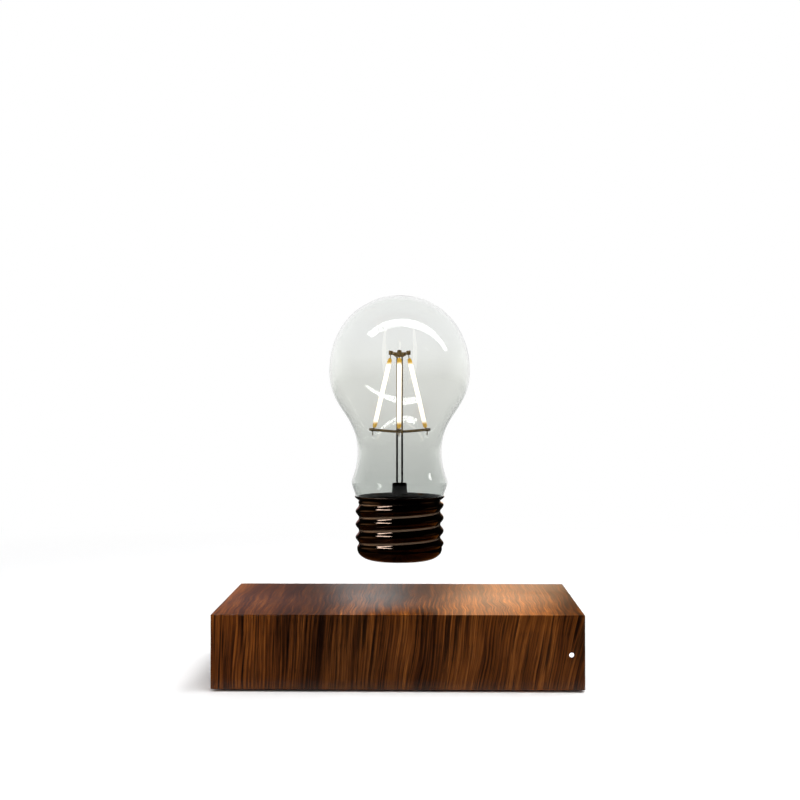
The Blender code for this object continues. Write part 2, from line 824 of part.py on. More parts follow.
def touch_spring():
    """A wire spring that joins the touch plate to the board."""
    low = BOARD_TOP + GAP + TOUCH_SPRING_WIRE
    high = ROOF_UNDERSIDE - TOUCH_THICKNESS - 2 * GAP - TOUCH_SPRING_WIRE
    count = TOUCH_SPRING_TURNS * SPRING_POINTS_PER_TURN
    curve = bpy.data.curves.new("touch_spring", "CURVE")
    curve.dimensions = "3D"
    curve.bevel_depth = TOUCH_SPRING_WIRE
    curve.bevel_resolution = 1
    curve.use_fill_caps = True
    spline = curve.splines.new("POLY")
    spline.points.add(count)
    for number, point in enumerate(spline.points):
        angle = 2 * math.pi * number / SPRING_POINTS_PER_TURN
        x = TOUCH_SPRING_RADIUS * math.cos(angle)
        y = TOUCH_SPRING_RADIUS * math.sin(angle)
        point.co = (x, y, low + (high - low) * number / count, 1)
    spring = object_of("touch_spring", curve)
    spring.location = (TOUCH_X, TOUCH_Y, 0)
    return carry(baked(spring), base_body, STEEL)


# Levitation module


def module_tray():
    """The round moulded tray that holds the magnet ring and the coils."""
    outline = [
        (0, TRAY_BOTTOM + TRAY_WALL),
        (TRAY_RADIUS - TRAY_WALL, TRAY_BOTTOM + TRAY_WALL),
        (TRAY_RADIUS - TRAY_WALL, RING_TOP),
        (TRAY_RADIUS, RING_TOP),
        (TRAY_RADIUS, TRAY_BOTTOM),
        (0, TRAY_BOTTOM),
    ]
    return carry(turned("module_tray", outline), base_body, TRAY_PLASTIC)


def yoke_plate():
    """The steel disc that closes the magnets' field from below."""
    outline = disc_outline(RING_RADIUS, YOKE_BOTTOM, YOKE_BOTTOM + YOKE_THICKNESS)
    return carry(turned("yoke_plate", outline), base_body, IRON)


def magnet_ring():
    """The large ferrite ring that pushes the bulb up."""
    outline = ring_outline(RING_RADIUS, RING_INNER, RING_BOTTOM, RING_TOP, RING_EDGE)
    return carry(turned("magnet_ring", outline, ring=True), base_body, FERRITE)


def coil_places():
    """The middle of each steering coil."""
    turn = 2 * math.pi / COIL_COUNT
    return [
        (
            COIL_REACH * math.cos(turn * (number + 0.5)),
            COIL_REACH * math.sin(turn * (number + 0.5)),
        )
        for number in range(COIL_COUNT)
    ]


def coil_bobbins():
    """Four spools, each with a bore for its iron core."""
    inner = BOBBIN_BARREL - BOBBIN_WALL
    outline = [
        (inner, BOBBIN_TOP),
        (COIL_RADIUS, BOBBIN_TOP),
        (COIL_RADIUS, BOBBIN_TOP - BOBBIN_FLANGE),
        (BOBBIN_BARREL, BOBBIN_TOP - BOBBIN_FLANGE),
        (BOBBIN_BARREL, RING_BOTTOM + BOBBIN_FLANGE),
        (COIL_RADIUS, RING_BOTTOM + BOBBIN_FLANGE),
        (COIL_RADIUS, RING_BOTTOM),
        (inner, RING_BOTTOM),
    ]
    for corner, (x, y) in zip(CORNER_NAMES, coil_places()):
        name = f"coil_bobbin_{corner}"
        bobbin = turned(name, outline, SMALL_STEPS, True, (x, y, 0))
        carry(bobbin, base_body, BLACK_PLASTIC)


def coil_windings():
    """The copper between each spool's flanges."""
    outline = ring_outline(
        COIL_RADIUS - GAP,
        BOBBIN_BARREL + GAP,
        RING_BOTTOM + BOBBIN_FLANGE + GAP,
        BOBBIN_TOP - BOBBIN_FLANGE - GAP,
    )
    for corner, (x, y) in zip(CORNER_NAMES, coil_places()):
        name = f"coil_winding_{corner}"
        carry(turned(name, outline, SMALL_STEPS, True, (x, y, 0)), base_body, COPPER)


def coil_cores():
    """The soft iron pin in each spool."""
    radius = BOBBIN_BARREL - BOBBIN_WALL - GAP
    for corner, (x, y) in zip(CORNER_NAMES, coil_places()):
        low, high = (x, y, RING_BOTTOM), (x, y, BOBBIN_TOP)
        pin = rod(f"coil_core_{corner}", radius, low, high, TINY_STEPS)
        carry(pin, base_body, IRON)


def sensor_board():
    """The small round board that bridges the four spools."""
    outline = disc_outline(COIL_REACH, SENSOR_BOARD_BOTTOM, SENSOR_BOARD_TOP)
    return carry(turned("sensor_board", outline), base_body, BOARD)


def hall_sensors():
    """Three field sensors under the middle of the sensor board."""
    high = SENSOR_BOARD_BOTTOM - GAP
    for place, side in (("front", -1), ("middle", 0), ("rear", 1)):
        size = (SENSOR_WIDTH, SENSOR_THICKNESS, SENSOR_HEIGHT)
        centre = (0, side * SENSOR_PITCH, high - SENSOR_HEIGHT / 2)
        carry(box(f"hall_sensor_{place}", size, centre), base_body, CHIP)


def transmitter_coil():
    """The flat coil on the magnet ring that sends power to the bulb."""
    outline = ring_outline(
        RING_RADIUS - SENDER_MARGIN,
        RING_INNER + SENDER_MARGIN,
        RING_TOP + GAP,
        SENDER_TOP,
    )
    return carry(turned("transmitter_coil", outline, ring=True), base_body, COPPER)


# Bulb: cap and what is in it


def smooth_step(value, start, end):
    """Rises from 0 at start to 1 at end, with level ends."""
    share = min(max((value - start) / (end - start), 0.0), 1.0)
    return share * share * (3 - 2 * share)


def cap_wall_radius(z):
    """The cap's radius without its thread: narrow at the neck, full below it."""
    neck = CAP_TOP - NECK_DROP
    return CAP_ROOT + (CAP_MEAN - CAP_ROOT) * smooth_step(z, neck, neck - THREAD_RUN_IN)


def thread_rise(z, angle):
    """How far the rolled thread stands out at a height and an angle about the axis."""
    neck = CAP_TOP - NECK_DROP
    corner = CAP_BOTTOM + CAP_CORNER
    fade_in = smooth_step(z, neck, neck - THREAD_RUN_IN)
    fade_out = smooth_step(z, corner, corner + THREAD_RUN_OUT)
    crest = CAP_TOP - THREAD_START + THREAD_PITCH * (angle / (2 * math.pi) + 0.25)
    wave = math.cos(2 * math.pi * (z - crest) / THREAD_PITCH)
    return THREAD_DEPTH / 2 * wave * fade_in * fade_out


def cap_outline():
    """The cap's section, from the middle of its floor inside to the middle outside."""
    inner_corner = CAP_CORNER - CAP_WALL
    neck = CAP_TOP - NECK_DROP
    corner = CAP_BOTTOM + CAP_CORNER
    inner_middle = (CAP_BORE - inner_corner, CAP_FLOOR_TOP + inner_corner)
    outer_middle = (CAP_MEAN - CAP_CORNER, corner)
    rows = math.ceil((neck - corner) / THREAD_PITCH * ROWS_PER_TURN)
    outline = [(0, CAP_FLOOR_TOP), (CAP_BORE - inner_corner, CAP_FLOOR_TOP)]
    outline += arc(inner_middle, inner_corner, -90, 0, ARC_ROWS)
    outline += [
        (CAP_BORE, CAP_FLOOR_TOP + inner_corner),
        (CAP_BORE, LIP_LEDGE),
        (LIP_BORE, LIP_LEDGE),
        (LIP_BORE, CAP_TOP),
        (LIP_RADIUS, CAP_TOP),
        (LIP_RADIUS, CAP_TOP - LIP_HEIGHT),
        (CAP_MEAN, (CAP_TOP - LIP_HEIGHT + neck) / 2),
    ]
    for row in range(rows + 1):
        z = neck + (corner - neck) * row / rows
        outline.append((cap_wall_radius(z), z))
    outline += arc(outer_middle, CAP_CORNER, 0, -90, ARC_ROWS)
    outline += [(CAP_MEAN - CAP_CORNER, CAP_BOTTOM), (0, CAP_BOTTOM)]
    return outline


def screw_cap():
    """The cap: a turned cup whose outer wall is pushed out into a screw thread."""
    cap = baked(turned("screw_cap", cap_outline(), FINE_STEPS))
    outside = CAP_ROOT - CAP_WALL / 2
    for point in cap.data.vertices:
        x, y, z = point.co
        radius = math.hypot(x, y)
        if radius > outside and z < CAP_TOP - NECK_DROP:
            stretch = 1 + thread_rise(z, math.atan2(y, x)) / radius
            point.co = (x * stretch, y * stretch, z)
    return carry(cap, bulb_body, CAP_BRONZE)


def receiver_coil():
    """The flat coil on the cap's floor that takes the power up."""
    radius = CAP_BORE - CAP_CORNER + CAP_WALL
    outline = ring_outline(
        radius,
        radius * (1 - RECEIVER_BAND_SHARE),
        RECEIVER_BOTTOM,
        RECEIVER_BOTTOM + RECEIVER_THICKNESS,
    )
    return carry(turned("receiver_coil", outline, ring=True), bulb_body, COPPER)


def float_magnet():
    """The round magnet that carries the bulb, and about which it can turn."""
    outline = disc_outline(MAGNET_RADIUS, MAGNET_BOTTOM, MAGNET_TOP, MAGNET_EDGE)
    return carry(turned("float_magnet", outline), float_body, NICKEL)


def board_holder():
    """The sleeve between the magnet and the mount plate, with a ledge for the board."""
    ledge = HOLDER_BOTTOM + HOLDER_LEDGE
    outline = [
        (HOLDER_BORE, HOLDER_TOP),
        (HOLDER_RADIUS, HOLDER_TOP),
        (HOLDER_RADIUS, HOLDER_BOTTOM),
        (HOLDER_BORE - HOLDER_LIP, HOLDER_BOTTOM),
        (HOLDER_BORE - HOLDER_LIP, ledge),
        (HOLDER_BORE, ledge),
    ]
    holder = turned("board_holder", outline, ring=True)
    return carry(holder, bulb_body, TRAY_PLASTIC)


def rectifier_board():
    """The round board, with its soldered can and chips, that feeds the filaments."""
    outline = disc_outline(HOLDER_BORE - GAP, RECTIFIER_BOTTOM, RECTIFIER_TOP)
    board = turned("rectifier_board", outline)
    low = RECTIFIER_TOP - RECTIFIER_THICKNESS / 2
    foot = (0, RECTIFIER_PART_SPREAD, low)
    head = (0, RECTIFIER_PART_SPREAD, RECTIFIER_TOP + RECTIFIER_CAN_HEIGHT)
    pieces = [rod("rectifier_can", RECTIFIER_CAN_RADIUS, foot, head)]
    high = RECTIFIER_TOP + RECTIFIER_CHIP_HEIGHT
    size = (RECTIFIER_CHIP_LENGTH, RECTIFIER_CHIP_WIDTH, high - low)
    for side in (-1, 1):
        centre = (side * RECTIFIER_PART_SPREAD, 0, (low + high) / 2)
        pieces.append(box(f"rectifier_chip_{side}", size, centre))
    combine(board, group("soldered_parts", pieces), "UNION")
    return carry(board, bulb_body, BOARD)


def mount_plate():
    """The black plate that plugs the cap and carries the stem, seen through the glass."""
    flange = GLASS_END_RADIUS - GLASS_WALL - PLATE_MARGIN
    plate = turned(
        "mount_plate",
        [
            (0, PLATE_BOTTOM + PLATE_FLANGE),
            (flange, PLATE_BOTTOM + PLATE_FLANGE),
            (flange, PLATE_BOTTOM),
            (HOLDER_RADIUS, PLATE_BOTTOM),
            (HOLDER_RADIUS, PLUG_BOTTOM),
            (0, PLUG_BOTTOM),
        ],
    )
    low, high = PLUG_BOTTOM - OVERRUN, PLATE_BOTTOM + PLATE_FLANGE + OVERRUN
    drill(plate, "plate_holes", SLEEVE_HOLE, POST_PLACES, low, high, TINY_STEPS)
    return carry(plate, bulb_body, BLACK_PLASTIC)


# Bulb: glass, stem, spiders and filaments


def glass_outline():
    """The glass's section, from the crown down to the edge that stands in the cap."""
    knots = []
    for radius, height, above, below in GLASS_KNOT_SHARES:
        point = Vector((radius * GLASS_RADIUS, 0, CAP_TOP + height * GLASS_HEIGHT))
        rise = Vector((0, 0, above * GLASS_HEIGHT))
        drop = Vector((0, 0, -below * GLASS_HEIGHT))
        if radius == 0:
            drop = Vector((CROWN_HANDLE_SHARE * GLASS_RADIUS, 0, 0))
        knots.append((point, rise, drop))
    points = [knots[0][0]]
    for (start, _, leave), (end, arrive, _), rows in zip(knots, knots[1:], GLASS_ROWS):
        stretch = interpolate_bezier(start, start + leave, end + arrive, end, rows + 1)
        points += stretch[1:]
    outline = [(point.x, point.z) for point in points]
    edge = outline[-1][1] - GLASS_STEP
    outline += [(GLASS_END_RADIUS, edge), (GLASS_END_RADIUS, GLASS_END)]
    return outline


def glass_globe():
    """The blown glass: a turned skin given its wall inwards, open at the neck."""
    globe = turned("glass_globe", glass_outline(), FINE_STEPS)
    wall = globe.modifiers.new("wall", "SOLIDIFY")
    wall.thickness = GLASS_WALL
    wall.offset = -1
    wall.use_even_offset = True
    return carry(globe, bulb_body, GLASS)


def stem_block():
    """The short black bush that the two posts stand in."""
    stem = turned(
        "stem_block",
        [
            (0, STEM_TOP),
            (STEM_RADIUS - STEM_ROUND, STEM_TOP),
            (STEM_RADIUS, STEM_TOP - STEM_ROUND),
            (STEM_RADIUS + STEM_FLARE, STEM_BOTTOM),
            (0, STEM_BOTTOM),
        ],
        SMALL_STEPS,
    )
    low, high = STEM_BOTTOM - OVERRUN, STEM_TOP + OVERRUN
    drill(stem, "stem_holes", SLEEVE_HOLE, POST_PLACES, low, high, TINY_STEPS)
    return carry(stem, bulb_body, BLACK_PLASTIC)


def lead_post(name, x):
    """A stiff lead: thick in its black sleeve, then bare wire up to the top spider."""
    post = turned(
        name,
        [
            (0, POST_TOP),
            (POST_WIRE, POST_TOP),
            (POST_WIRE, POST_SHOULDER),
            (POST_SLEEVE, POST_SHOULDER),
            (POST_SLEEVE, RECTIFIER_TOP + GAP),
            (0, RECTIFIER_TOP + GAP),
        ],
        TINY_STEPS,
        centre=(x, 0, 0),
    )
    return carry(post, bulb_body, POST_METAL)


def star_outline(reach):
    """The outline of a hub with three arms."""
    half = ARM_WIDTH / 2
    spread = math.degrees(math.asin(half / SPIDER_HUB_RADIUS))
    shoulder = SPIDER_HUB_RADIUS * math.cos(math.radians(spread))
    points = []
    for angle in sorted(FILAMENT_ANGLES.values()):
        turn = Matrix.Rotation(math.radians(angle), 2)
        for corner in ((shoulder, -half), (reach, -half), (reach, half), (shoulder, half)):
            points.append(tuple(turn @ Vector(corner)))
        for share in (0.25, 0.5, 0.75):
            between = angle + spread + (120 - 2 * spread) * share
            points.append(tuple(polar(between, SPIDER_HUB_RADIUS, 0).xy))
    return points


def spider(name, height, reach, clamp_reach, low, high, tail, lead_end):
    """A stamped three-armed support, with a clamp and a welded lead on each arm."""
    holes = []
    if tail:
        holes = [circle(x, y, POST_HOLE) for x, y in POST_PLACES]
    star = flat_plate(name, [star_outline(reach), *holes], ARM_THICKNESS, height)
    clamps = []
    for number, angle in enumerate(FILAMENT_ANGLES.values()):
        foot = polar(angle, clamp_reach, height - low)
        head = polar(angle, clamp_reach, height + high)
        clamps.append(rod(f"clamp_{number}", CLAMP_RADIUS, foot, head, TINY_STEPS))
    combine(star, group(f"{name}_clamps", clamps), "UNION")
    if tail:
        tails = []
        for number, angle in enumerate(FILAMENT_ANGLES.values()):
            foot = polar(angle, clamp_reach, height - low - tail)
            head = polar(angle, clamp_reach, height)
            tails.append(rod(f"tail_{number}", TAIL_RADIUS, foot, head, TINY_STEPS))
        combine(star, group(f"{name}_tails", tails), "UNION")
    leads = []
    for side, angle in FILAMENT_ANGLES.items():
        start = polar(angle, clamp_reach, height)
        leads.append(rod(f"lead_{side}", LEAD_RADIUS, start, lead_end(angle), TINY_STEPS))
    combine(star, group(f"{name}_leads", leads), "UNION")
    return carry(star, bulb_body, BRONZE)


def lower_spider():
    """The wide support: it rests on the posts' sleeves and holds the filaments' feet."""
    side = ARM_THICKNESS / 2 + FINE_GAP
    return spider(
        "lower_spider",
        LOWER_SPIDER_Z,
        LOWER_SPIDER_RADIUS,
        LOWER_CLAMP_CIRCLE_RADIUS,
        side,
        CLAMP_RISE,
        TAIL_LENGTH,
        lambda angle: lead_stop(*filament_ends(angle)),
    )


def upper_spider():
    """The small support on top of the posts, with its ends turned up."""
    side = ARM_THICKNESS / 2 + FINE_GAP
    return spider(
        "upper_spider",
        UPPER_SPIDER_Z,
        UPPER_SPIDER_RADIUS,
        UPPER_CLAMP_CIRCLE_RADIUS,
        side,
        HOOK_RISE,
        0,
        lambda angle: lead_stop(*reversed(filament_ends(angle))),
    )


def filament_ends(angle):
    """Where a filament's coated rod starts, low, and stops, high."""
    low = polar(angle, FILAMENT_FEET_CIRCLE_RADIUS, CAP_TOP + FILAMENT_FEET_HEIGHT)
    high = polar(angle, FILAMENT_HEADS_CIRCLE_RADIUS, CAP_TOP + FILAMENT_HEADS_HEIGHT)
    return low, high


def lead_stop(near, far):
    """Just short of a filament's near end, on the line that the filament takes."""
    return near - (far - near).normalized() * GAP


def filament(side, angle):
    """One light-giving rod with rounded ends, leaning in towards the top."""
    low, high = filament_ends(angle)
    half = (high - low).length / 2
    middle = half - FILAMENT_RADIUS
    outline = [(0, half)]
    outline += arc((0, middle), FILAMENT_RADIUS, 90, 0, ARC_ROWS - 1)
    outline += [(FILAMENT_RADIUS, middle), (FILAMENT_RADIUS, -middle)]
    outline += arc((0, -middle), FILAMENT_RADIUS, 0, -90, ARC_ROWS - 1)
    outline += [(0, -half)]
    rod_piece = turned(f"filament_{side}", outline, TINY_STEPS)
    rod_piece.rotation_euler = (high - low).to_track_quat("Z", "Y").to_euler()
    rod_piece.location = (low + high) / 2
    return carry(rod_piece, bulb_body, PHOSPHOR)


def build():
    """Makes every piece of the lamp."""
    base_shell()
    bottom_cover()
    rubber_feet()
    cover_screws()
    main_board()
    board_screws()
    driver_chips()
    capacitors()
    power_socket()
    indicator_light()
    touch_plate()
    touch_spring()
    module_tray()
    yoke_plate()
    magnet_ring()
    coil_bobbins()
    coil_windings()
    coil_cores()
    sensor_board()
    hall_sensors()
    transmitter_coil()
    screw_cap()
    receiver_coil()
    float_magnet()
    board_holder()
    rectifier_board()
    mount_plate()
    glass_globe()
    stem_block()
    lead_post("lead_post_left", -POST_SPACING / 2)
    lead_post("lead_post_right", POST_SPACING / 2)
    lower_spider()
    upper_spider()
    for side, angle in FILAMENT_ANGLES.items():
        filament(side, angle)


build()
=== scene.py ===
# %% [markdown]
# # A lamp whose bulb floats over a walnut box
#
# The lamp is a threaded filament bulb that hovers, upright and free, over a flat
# walnut box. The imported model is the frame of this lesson: it holds every piece at
# its real size, in metres, with +Z up and the origin on the table under the middle of
# the box. Each step takes one piece or one finish of the real lamp, says how it could
# be made in Blender, and makes it.

# %% The frame
import math

import bmesh
import bpy
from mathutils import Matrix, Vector
from mathutils.geometry import interpolate_bezier


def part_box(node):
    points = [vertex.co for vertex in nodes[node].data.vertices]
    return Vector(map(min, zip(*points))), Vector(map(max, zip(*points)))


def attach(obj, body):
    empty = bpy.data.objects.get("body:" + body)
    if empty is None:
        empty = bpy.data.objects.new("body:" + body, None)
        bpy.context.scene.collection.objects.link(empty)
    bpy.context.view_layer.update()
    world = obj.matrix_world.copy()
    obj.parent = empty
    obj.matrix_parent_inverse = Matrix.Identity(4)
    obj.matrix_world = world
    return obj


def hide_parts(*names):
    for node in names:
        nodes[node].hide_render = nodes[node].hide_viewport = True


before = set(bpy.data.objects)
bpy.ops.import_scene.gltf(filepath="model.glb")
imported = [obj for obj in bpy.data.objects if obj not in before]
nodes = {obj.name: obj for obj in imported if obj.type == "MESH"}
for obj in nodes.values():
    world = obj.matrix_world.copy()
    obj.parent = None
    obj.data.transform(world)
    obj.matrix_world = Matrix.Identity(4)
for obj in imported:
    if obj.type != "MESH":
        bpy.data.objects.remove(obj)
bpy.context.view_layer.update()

MM = 0.001

# %% [markdown]
# ## The camera
#
# The photograph looks almost level, a little from the right of the middle. The edges
# of the box that run away from the viewer meet in one point, which gives the height
# of the camera and its side step. The distance follows from the ratio of the widths of
# the front and rear edges. An object's yaw is turned about Z, and its pitch about X.

# %% Camera
CAMERA_PLACE = (0.011, -0.650, 0.1189)
CAMERA_LENS = 67.55
SENSOR_WIDTH = 36.0
CAMERA_PITCH = math.radians(90 - 0.183)
CAMERA_YAW = math.radians(0.954)
CAMERA_NEAR = 0.01

bpy.ops.object.camera_add(location=CAMERA_PLACE, rotation=(CAMERA_PITCH, 0, CAMERA_YAW))
camera = bpy.context.object
camera.data.lens = CAMERA_LENS
camera.data.sensor_width = SENSOR_WIDTH
camera.data.clip_start = CAMERA_NEAR
bpy.context.scene.camera = camera
bpy.context.scene.view_settings.view_transform = "Standard"
print("camera at", CAMERA_PLACE, "with a lens of", CAMERA_LENS, "mm")

# %% [markdown]
# ## Colours and nodes
#
# Colours are written as sRGB hex values, as a paint program shows them. A shader reads
# linear light, so one function turns the one into the other. Another adds a node with
# its settings, what feeds it and the stops of its colour ramp, which keeps a long node
# tree readable. Wherever an input is filled, a node stands for its first output.

# %% Colours and nodes
SRGB_KNEE = 0.04045
SRGB_SLOPE = 12.92
SRGB_SHIFT = 0.055
SRGB_POWER = 2.4


def linear(code, alpha=1.0):
    """A colour such as #6b3a10 as the linear red, green, blue and alpha of a shader."""
    colour = []
    for start in (1, 3, 5):
        value = int(code[start : start + 2], 16) / 255
        if value <= SRGB_KNEE:
            colour.append(value / SRGB_SLOPE)
        else:
            colour.append(((value + SRGB_SHIFT) / (1 + SRGB_SHIFT)) ** SRGB_POWER)
    return (*colour, alpha)


def feed(node, inputs):
    """Fills inputs of a node with plain values, with sockets or with other nodes."""
    for key, value in inputs.items():
        if isinstance(value, bpy.types.Node):
            value = value.outputs[0]
        if isinstance(value, bpy.types.NodeSocket):
            node.id_data.links.new(value, node.inputs[key])
        else:
            node.inputs[key].default_value = value


def add_node(tree, kind, inputs=None, stops=(), **settings):
    """Adds a node with its settings, what feeds its inputs, and its colour stops."""
    new = tree.nodes.new("ShaderNode" + kind)
    for key, value in settings.items():
        setattr(new, key, value)
    feed(new, inputs or {})
    while stops and len(new.color_ramp.elements) < len(stops):
        new.color_ramp.elements.new(1.0)
    for number, (place, code) in enumerate(stops):
        new.color_ramp.elements[number].position = place
        new.color_ramp.elements[number].color = linear(code)
    return new


def from_to(value, low, high, to_low=0.0, to_high=1.0):
    """What feeds a Map Range node that stretches low to high into to_low to to_high."""
    return {"Value": value, "From Min": low, "From Max": high, "To Min": to_low, "To Max": to_high}


def new_finish(name, values):
    """A material with plain values on its shader, and its node tree and that shader."""
    material = bpy.data.materials.new(name)
    material.use_nodes = True
    shader = material.node_tree.nodes["Principled BSDF"]
    feed(shader, values)
    return material, material.node_tree, shader


print("helpers for colours and nodes are ready")

# %% [markdown]
# ## The studio
#
# A pale floor and a white world make the plain background. The world gives white to
# what the camera, a mirror or a glass sees, and a softer light to everything else, so
# that the background is white without more light on the lamp.
#
# The floor keeps the soft shadow near the box and fades into the white world further
# out, so no horizon cuts through the clear glass.

# %% World
AMBIENT_STRENGTH = 0.56


def looked_at(tree):
    """1 for what the camera, a mirror or a glass sees, 0 where light is only gathered."""
    path = add_node(tree, "LightPath")
    seen = path.outputs["Is Camera Ray"]
    for ray in ("Is Glossy Ray", "Is Transmission Ray"):
        seen = add_node(tree, "Math", {0: seen, 1: path.outputs[ray]}, operation="MAXIMUM")
    return seen


world = bpy.data.worlds.new("white_studio")
world.use_nodes = True
bpy.context.scene.world = world
sky = world.node_tree
sky.nodes.clear()
soft = add_node(sky, "Background", {"Color": linear("#fbfcff"), "Strength": AMBIENT_STRENGTH})
white = add_node(sky, "Background", {"Color": linear("#ffffff"), "Strength": 1.0})
both = add_node(sky, "MixShader", {0: looked_at(sky), 1: soft, 2: white})
add_node(sky, "OutputWorld", {"Surface": both})
print("a white world with an ambient light of", AMBIENT_STRENGTH)

# %% Floor
FLOOR_SIZE = 6.0
FLOOR_FADE_START = 0.22
FLOOR_FADE_END = 0.75

bpy.ops.mesh.primitive_plane_add(size=FLOOR_SIZE, location=(0, 0, 0))
floor = bpy.context.object
floor.name = "studio_floor"
paint = {"Base Color": linear("#fafafa"), "Roughness": 0.9}
floor_finish, tree, shader = new_finish("painted_floor", paint)
place = add_node(tree, "TexCoord").outputs["Object"]
reach = add_node(tree, "VectorMath", {0: place}, operation="LENGTH").outputs["Value"]
span = from_to(reach, FLOOR_FADE_START, FLOOR_FADE_END)
fade = add_node(tree, "MapRange", span, interpolation_type="SMOOTHSTEP")
share = add_node(tree, "Math", {0: fade, 1: looked_at(tree)}, operation="MULTIPLY")
glow = add_node(tree, "Emission", {"Color": linear("#ffffff"), "Strength": 1.0})
mix = add_node(tree, "MixShader", {0: share, 1: shader, 2: glow})
feed(tree.nodes["Material Output"], {"Surface": mix})
floor.data.materials.append(floor_finish)
print("floor of", FLOOR_SIZE, "m")

# %% [markdown]
# ## The lamps
#
# A long strip overhead lights the top of the box, and a large soft box fills the front.
# Both are kept out of every reflection: what shines back from the glass and from the
# cap is set by cards, which are easier to place.

# %% Lamps
LAMPS_AIM = Vector((0, 0, 0.09))
OVERHEAD_PLACE = (0.3, -0.1, 1.0)
OVERHEAD_SIZE = (1.8, 0.25)
OVERHEAD_POWER = 12.0
FILL_PLACE = (-0.9, -1.6, 1.0)
FILL_SIZE = (1.2, 1.2)
FILL_POWER = 13.0


def soft_box(name, place, size, power, colour):
    """A rectangular area lamp that faces the object, with its width kept level."""
    bpy.ops.object.light_add(type="AREA", location=place)
    lamp = bpy.context.object
    lamp.name = name
    lamp.data.shape = "RECTANGLE"
    lamp.data.size, lamp.data.size_y = size
    lamp.data.energy = power
    lamp.data.color = linear(colour)[:3]
    lamp.rotation_euler = (LAMPS_AIM - Vector(place)).to_track_quat("-Z", "Y").to_euler()
    lamp.visible_camera = False
    lamp.visible_glossy = False
    lamp.visible_transmission = False
    print(name, "of", size[0], "by", size[1], "m at", place)


soft_box("overhead_strip", OVERHEAD_PLACE, OVERHEAD_SIZE, OVERHEAD_POWER, "#ffffff")
soft_box("front_fill", FILL_PLACE, FILL_SIZE, FILL_POWER, "#fffaf2")

# %% [markdown]
# ## Card finishes
#
# Cards stand around the set, as they do in a studio when a glossy black thing and clear
# glass are photographed on white. They are seen only in reflections, and light that
# goes straight through the glass misses them. A card can have another face for the
# sharp reflections of glass than for the softer ones of the cap and the lacquer.

# %% Card finishes
ONE_REFLECTION = 0.5


def ramp_along(tree, axis, reach, stops):
    """A ramp of colours along one axis, from as far on one side as on the other."""
    where = add_node(tree, "TexCoord").outputs["Object"]
    place = add_node(tree, "SeparateXYZ", {0: where}).outputs[axis]
    share = add_node(tree, "MapRange", from_to(place, -reach, reach))
    return add_node(tree, "ValToRGB", {0: share}, stops)


def card_finish(name, stops=(), strength=1.0, reach=0.5, glass_stops=(), bounces=()):
    """A card that shines in a ramp of colours along X, and has another face for glass.

    Glass looks through it, in a tone read from front to rear where stops are given.
    With bounces it is the other way round: only glass sees the card, in plain white,
    by the light that comes back after so many bounces.
    """
    material = bpy.data.materials.new(name)
    material.use_nodes = True
    tree = material.node_tree
    tree.nodes.clear()
    light = add_node(tree, "LightPath")
    clear = add_node(tree, "BsdfTransparent")
    if bounces:
        fewest, most = bounces
        band = {0: light.outputs["Ray Depth"], 1: (fewest + most) / 2, 2: (most - fewest) / 2}
        wanted = add_node(tree, "Math", band, operation="COMPARE")
        lit = add_node(tree, "Emission", {"Strength": strength})
        soft_face = clear
        sharp_face = add_node(tree, "MixShader", {0: wanted, 1: clear, 2: lit})
    else:
        colour = ramp_along(tree, "X", reach, stops)
        soft_face = add_node(tree, "Emission", {"Color": colour, "Strength": strength})
        sharp_face = clear
    if glass_stops:
        tone = ramp_along(tree, "Y", reach, glass_stops)
        sharp_face = add_node(tree, "BsdfTransparent", {"Color": tone})
    faces = {0: light.outputs["Is Singular Ray"], 1: soft_face, 2: sharp_face}
    face = add_node(tree, "MixShader", faces)
    depth = {0: light.outputs["Glossy Depth"], 1: ONE_REFLECTION}
    reflected = add_node(tree, "Math", depth, operation="GREATER_THAN")
    surface = add_node(tree, "MixShader", {0: reflected, 1: clear, 2: face})
    add_node(tree, "OutputMaterial", {"Surface": surface})
    return material


def reflections_only(card, name, material, through_glass=True):
    """Names a card and hides it from all but reflections and what is seen through glass."""
    card.name = name
    card.data.materials.append(material)
    card.visible_camera = False
    card.visible_diffuse = False
    card.visible_volume_scatter = False
    card.visible_shadow = False
    card.visible_transmission = through_glass
    print(name, "with", len(card.data.polygons), "faces")


print("card finishes are ready")

# %% [markdown]
# ## Dark cards
#
# A dome and a sheet of black cloth round the box keep the cap and the stem black. To
# the sharp reflections of clear glass the cloth is open at the sides and the rear, so
# the globe keeps a pale outline.

# %% Dark cards
DOME_RADIUS = 1.9
DOME_REAR = 1.85
SHEET_MARGIN = 8 * MM
SHEET_LIFT = 0.5 * MM
SIDE_GLOW = 4.0
DARK_CARD = "#1a1411"
dark = [(0, DARK_CARD), (1, DARK_CARD)]
sides = [
    (0.0, "#c49a70"),
    (0.04, "#8a6848"),
    (0.12, "#0b0806"),
    (0.93, "#0b0806"),
    (1.0, "#6a523e"),
]
front_to_rear = [
    (0.0, "#000000"),
    (0.42, "#141414"),
    (0.62, "#c8cac8"),
    (0.75, "#f2f4f2"),
    (0.85, "#ffffff"),
]

cloth = card_finish("black_cloth", sides, SIDE_GLOW, DOME_RADIUS, front_to_rear)
bpy.ops.mesh.primitive_uv_sphere_add(segments=48, ring_count=24, radius=DOME_RADIUS)
dome = bpy.context.object
bpy.ops.object.mode_set(mode="EDIT")
bpy.ops.mesh.select_all(action="SELECT")
bpy.ops.mesh.bisect(plane_co=(0, 0, 0), plane_no=(0, 0, 1), clear_inner=True)
bpy.ops.mesh.select_all(action="SELECT")
bpy.ops.mesh.bisect(plane_co=(0, DOME_REAR, 0), plane_no=(0, 1, 0), clear_outer=True)
bpy.ops.object.mode_set(mode="OBJECT")
reflections_only(dome, "dark_dome", cloth)

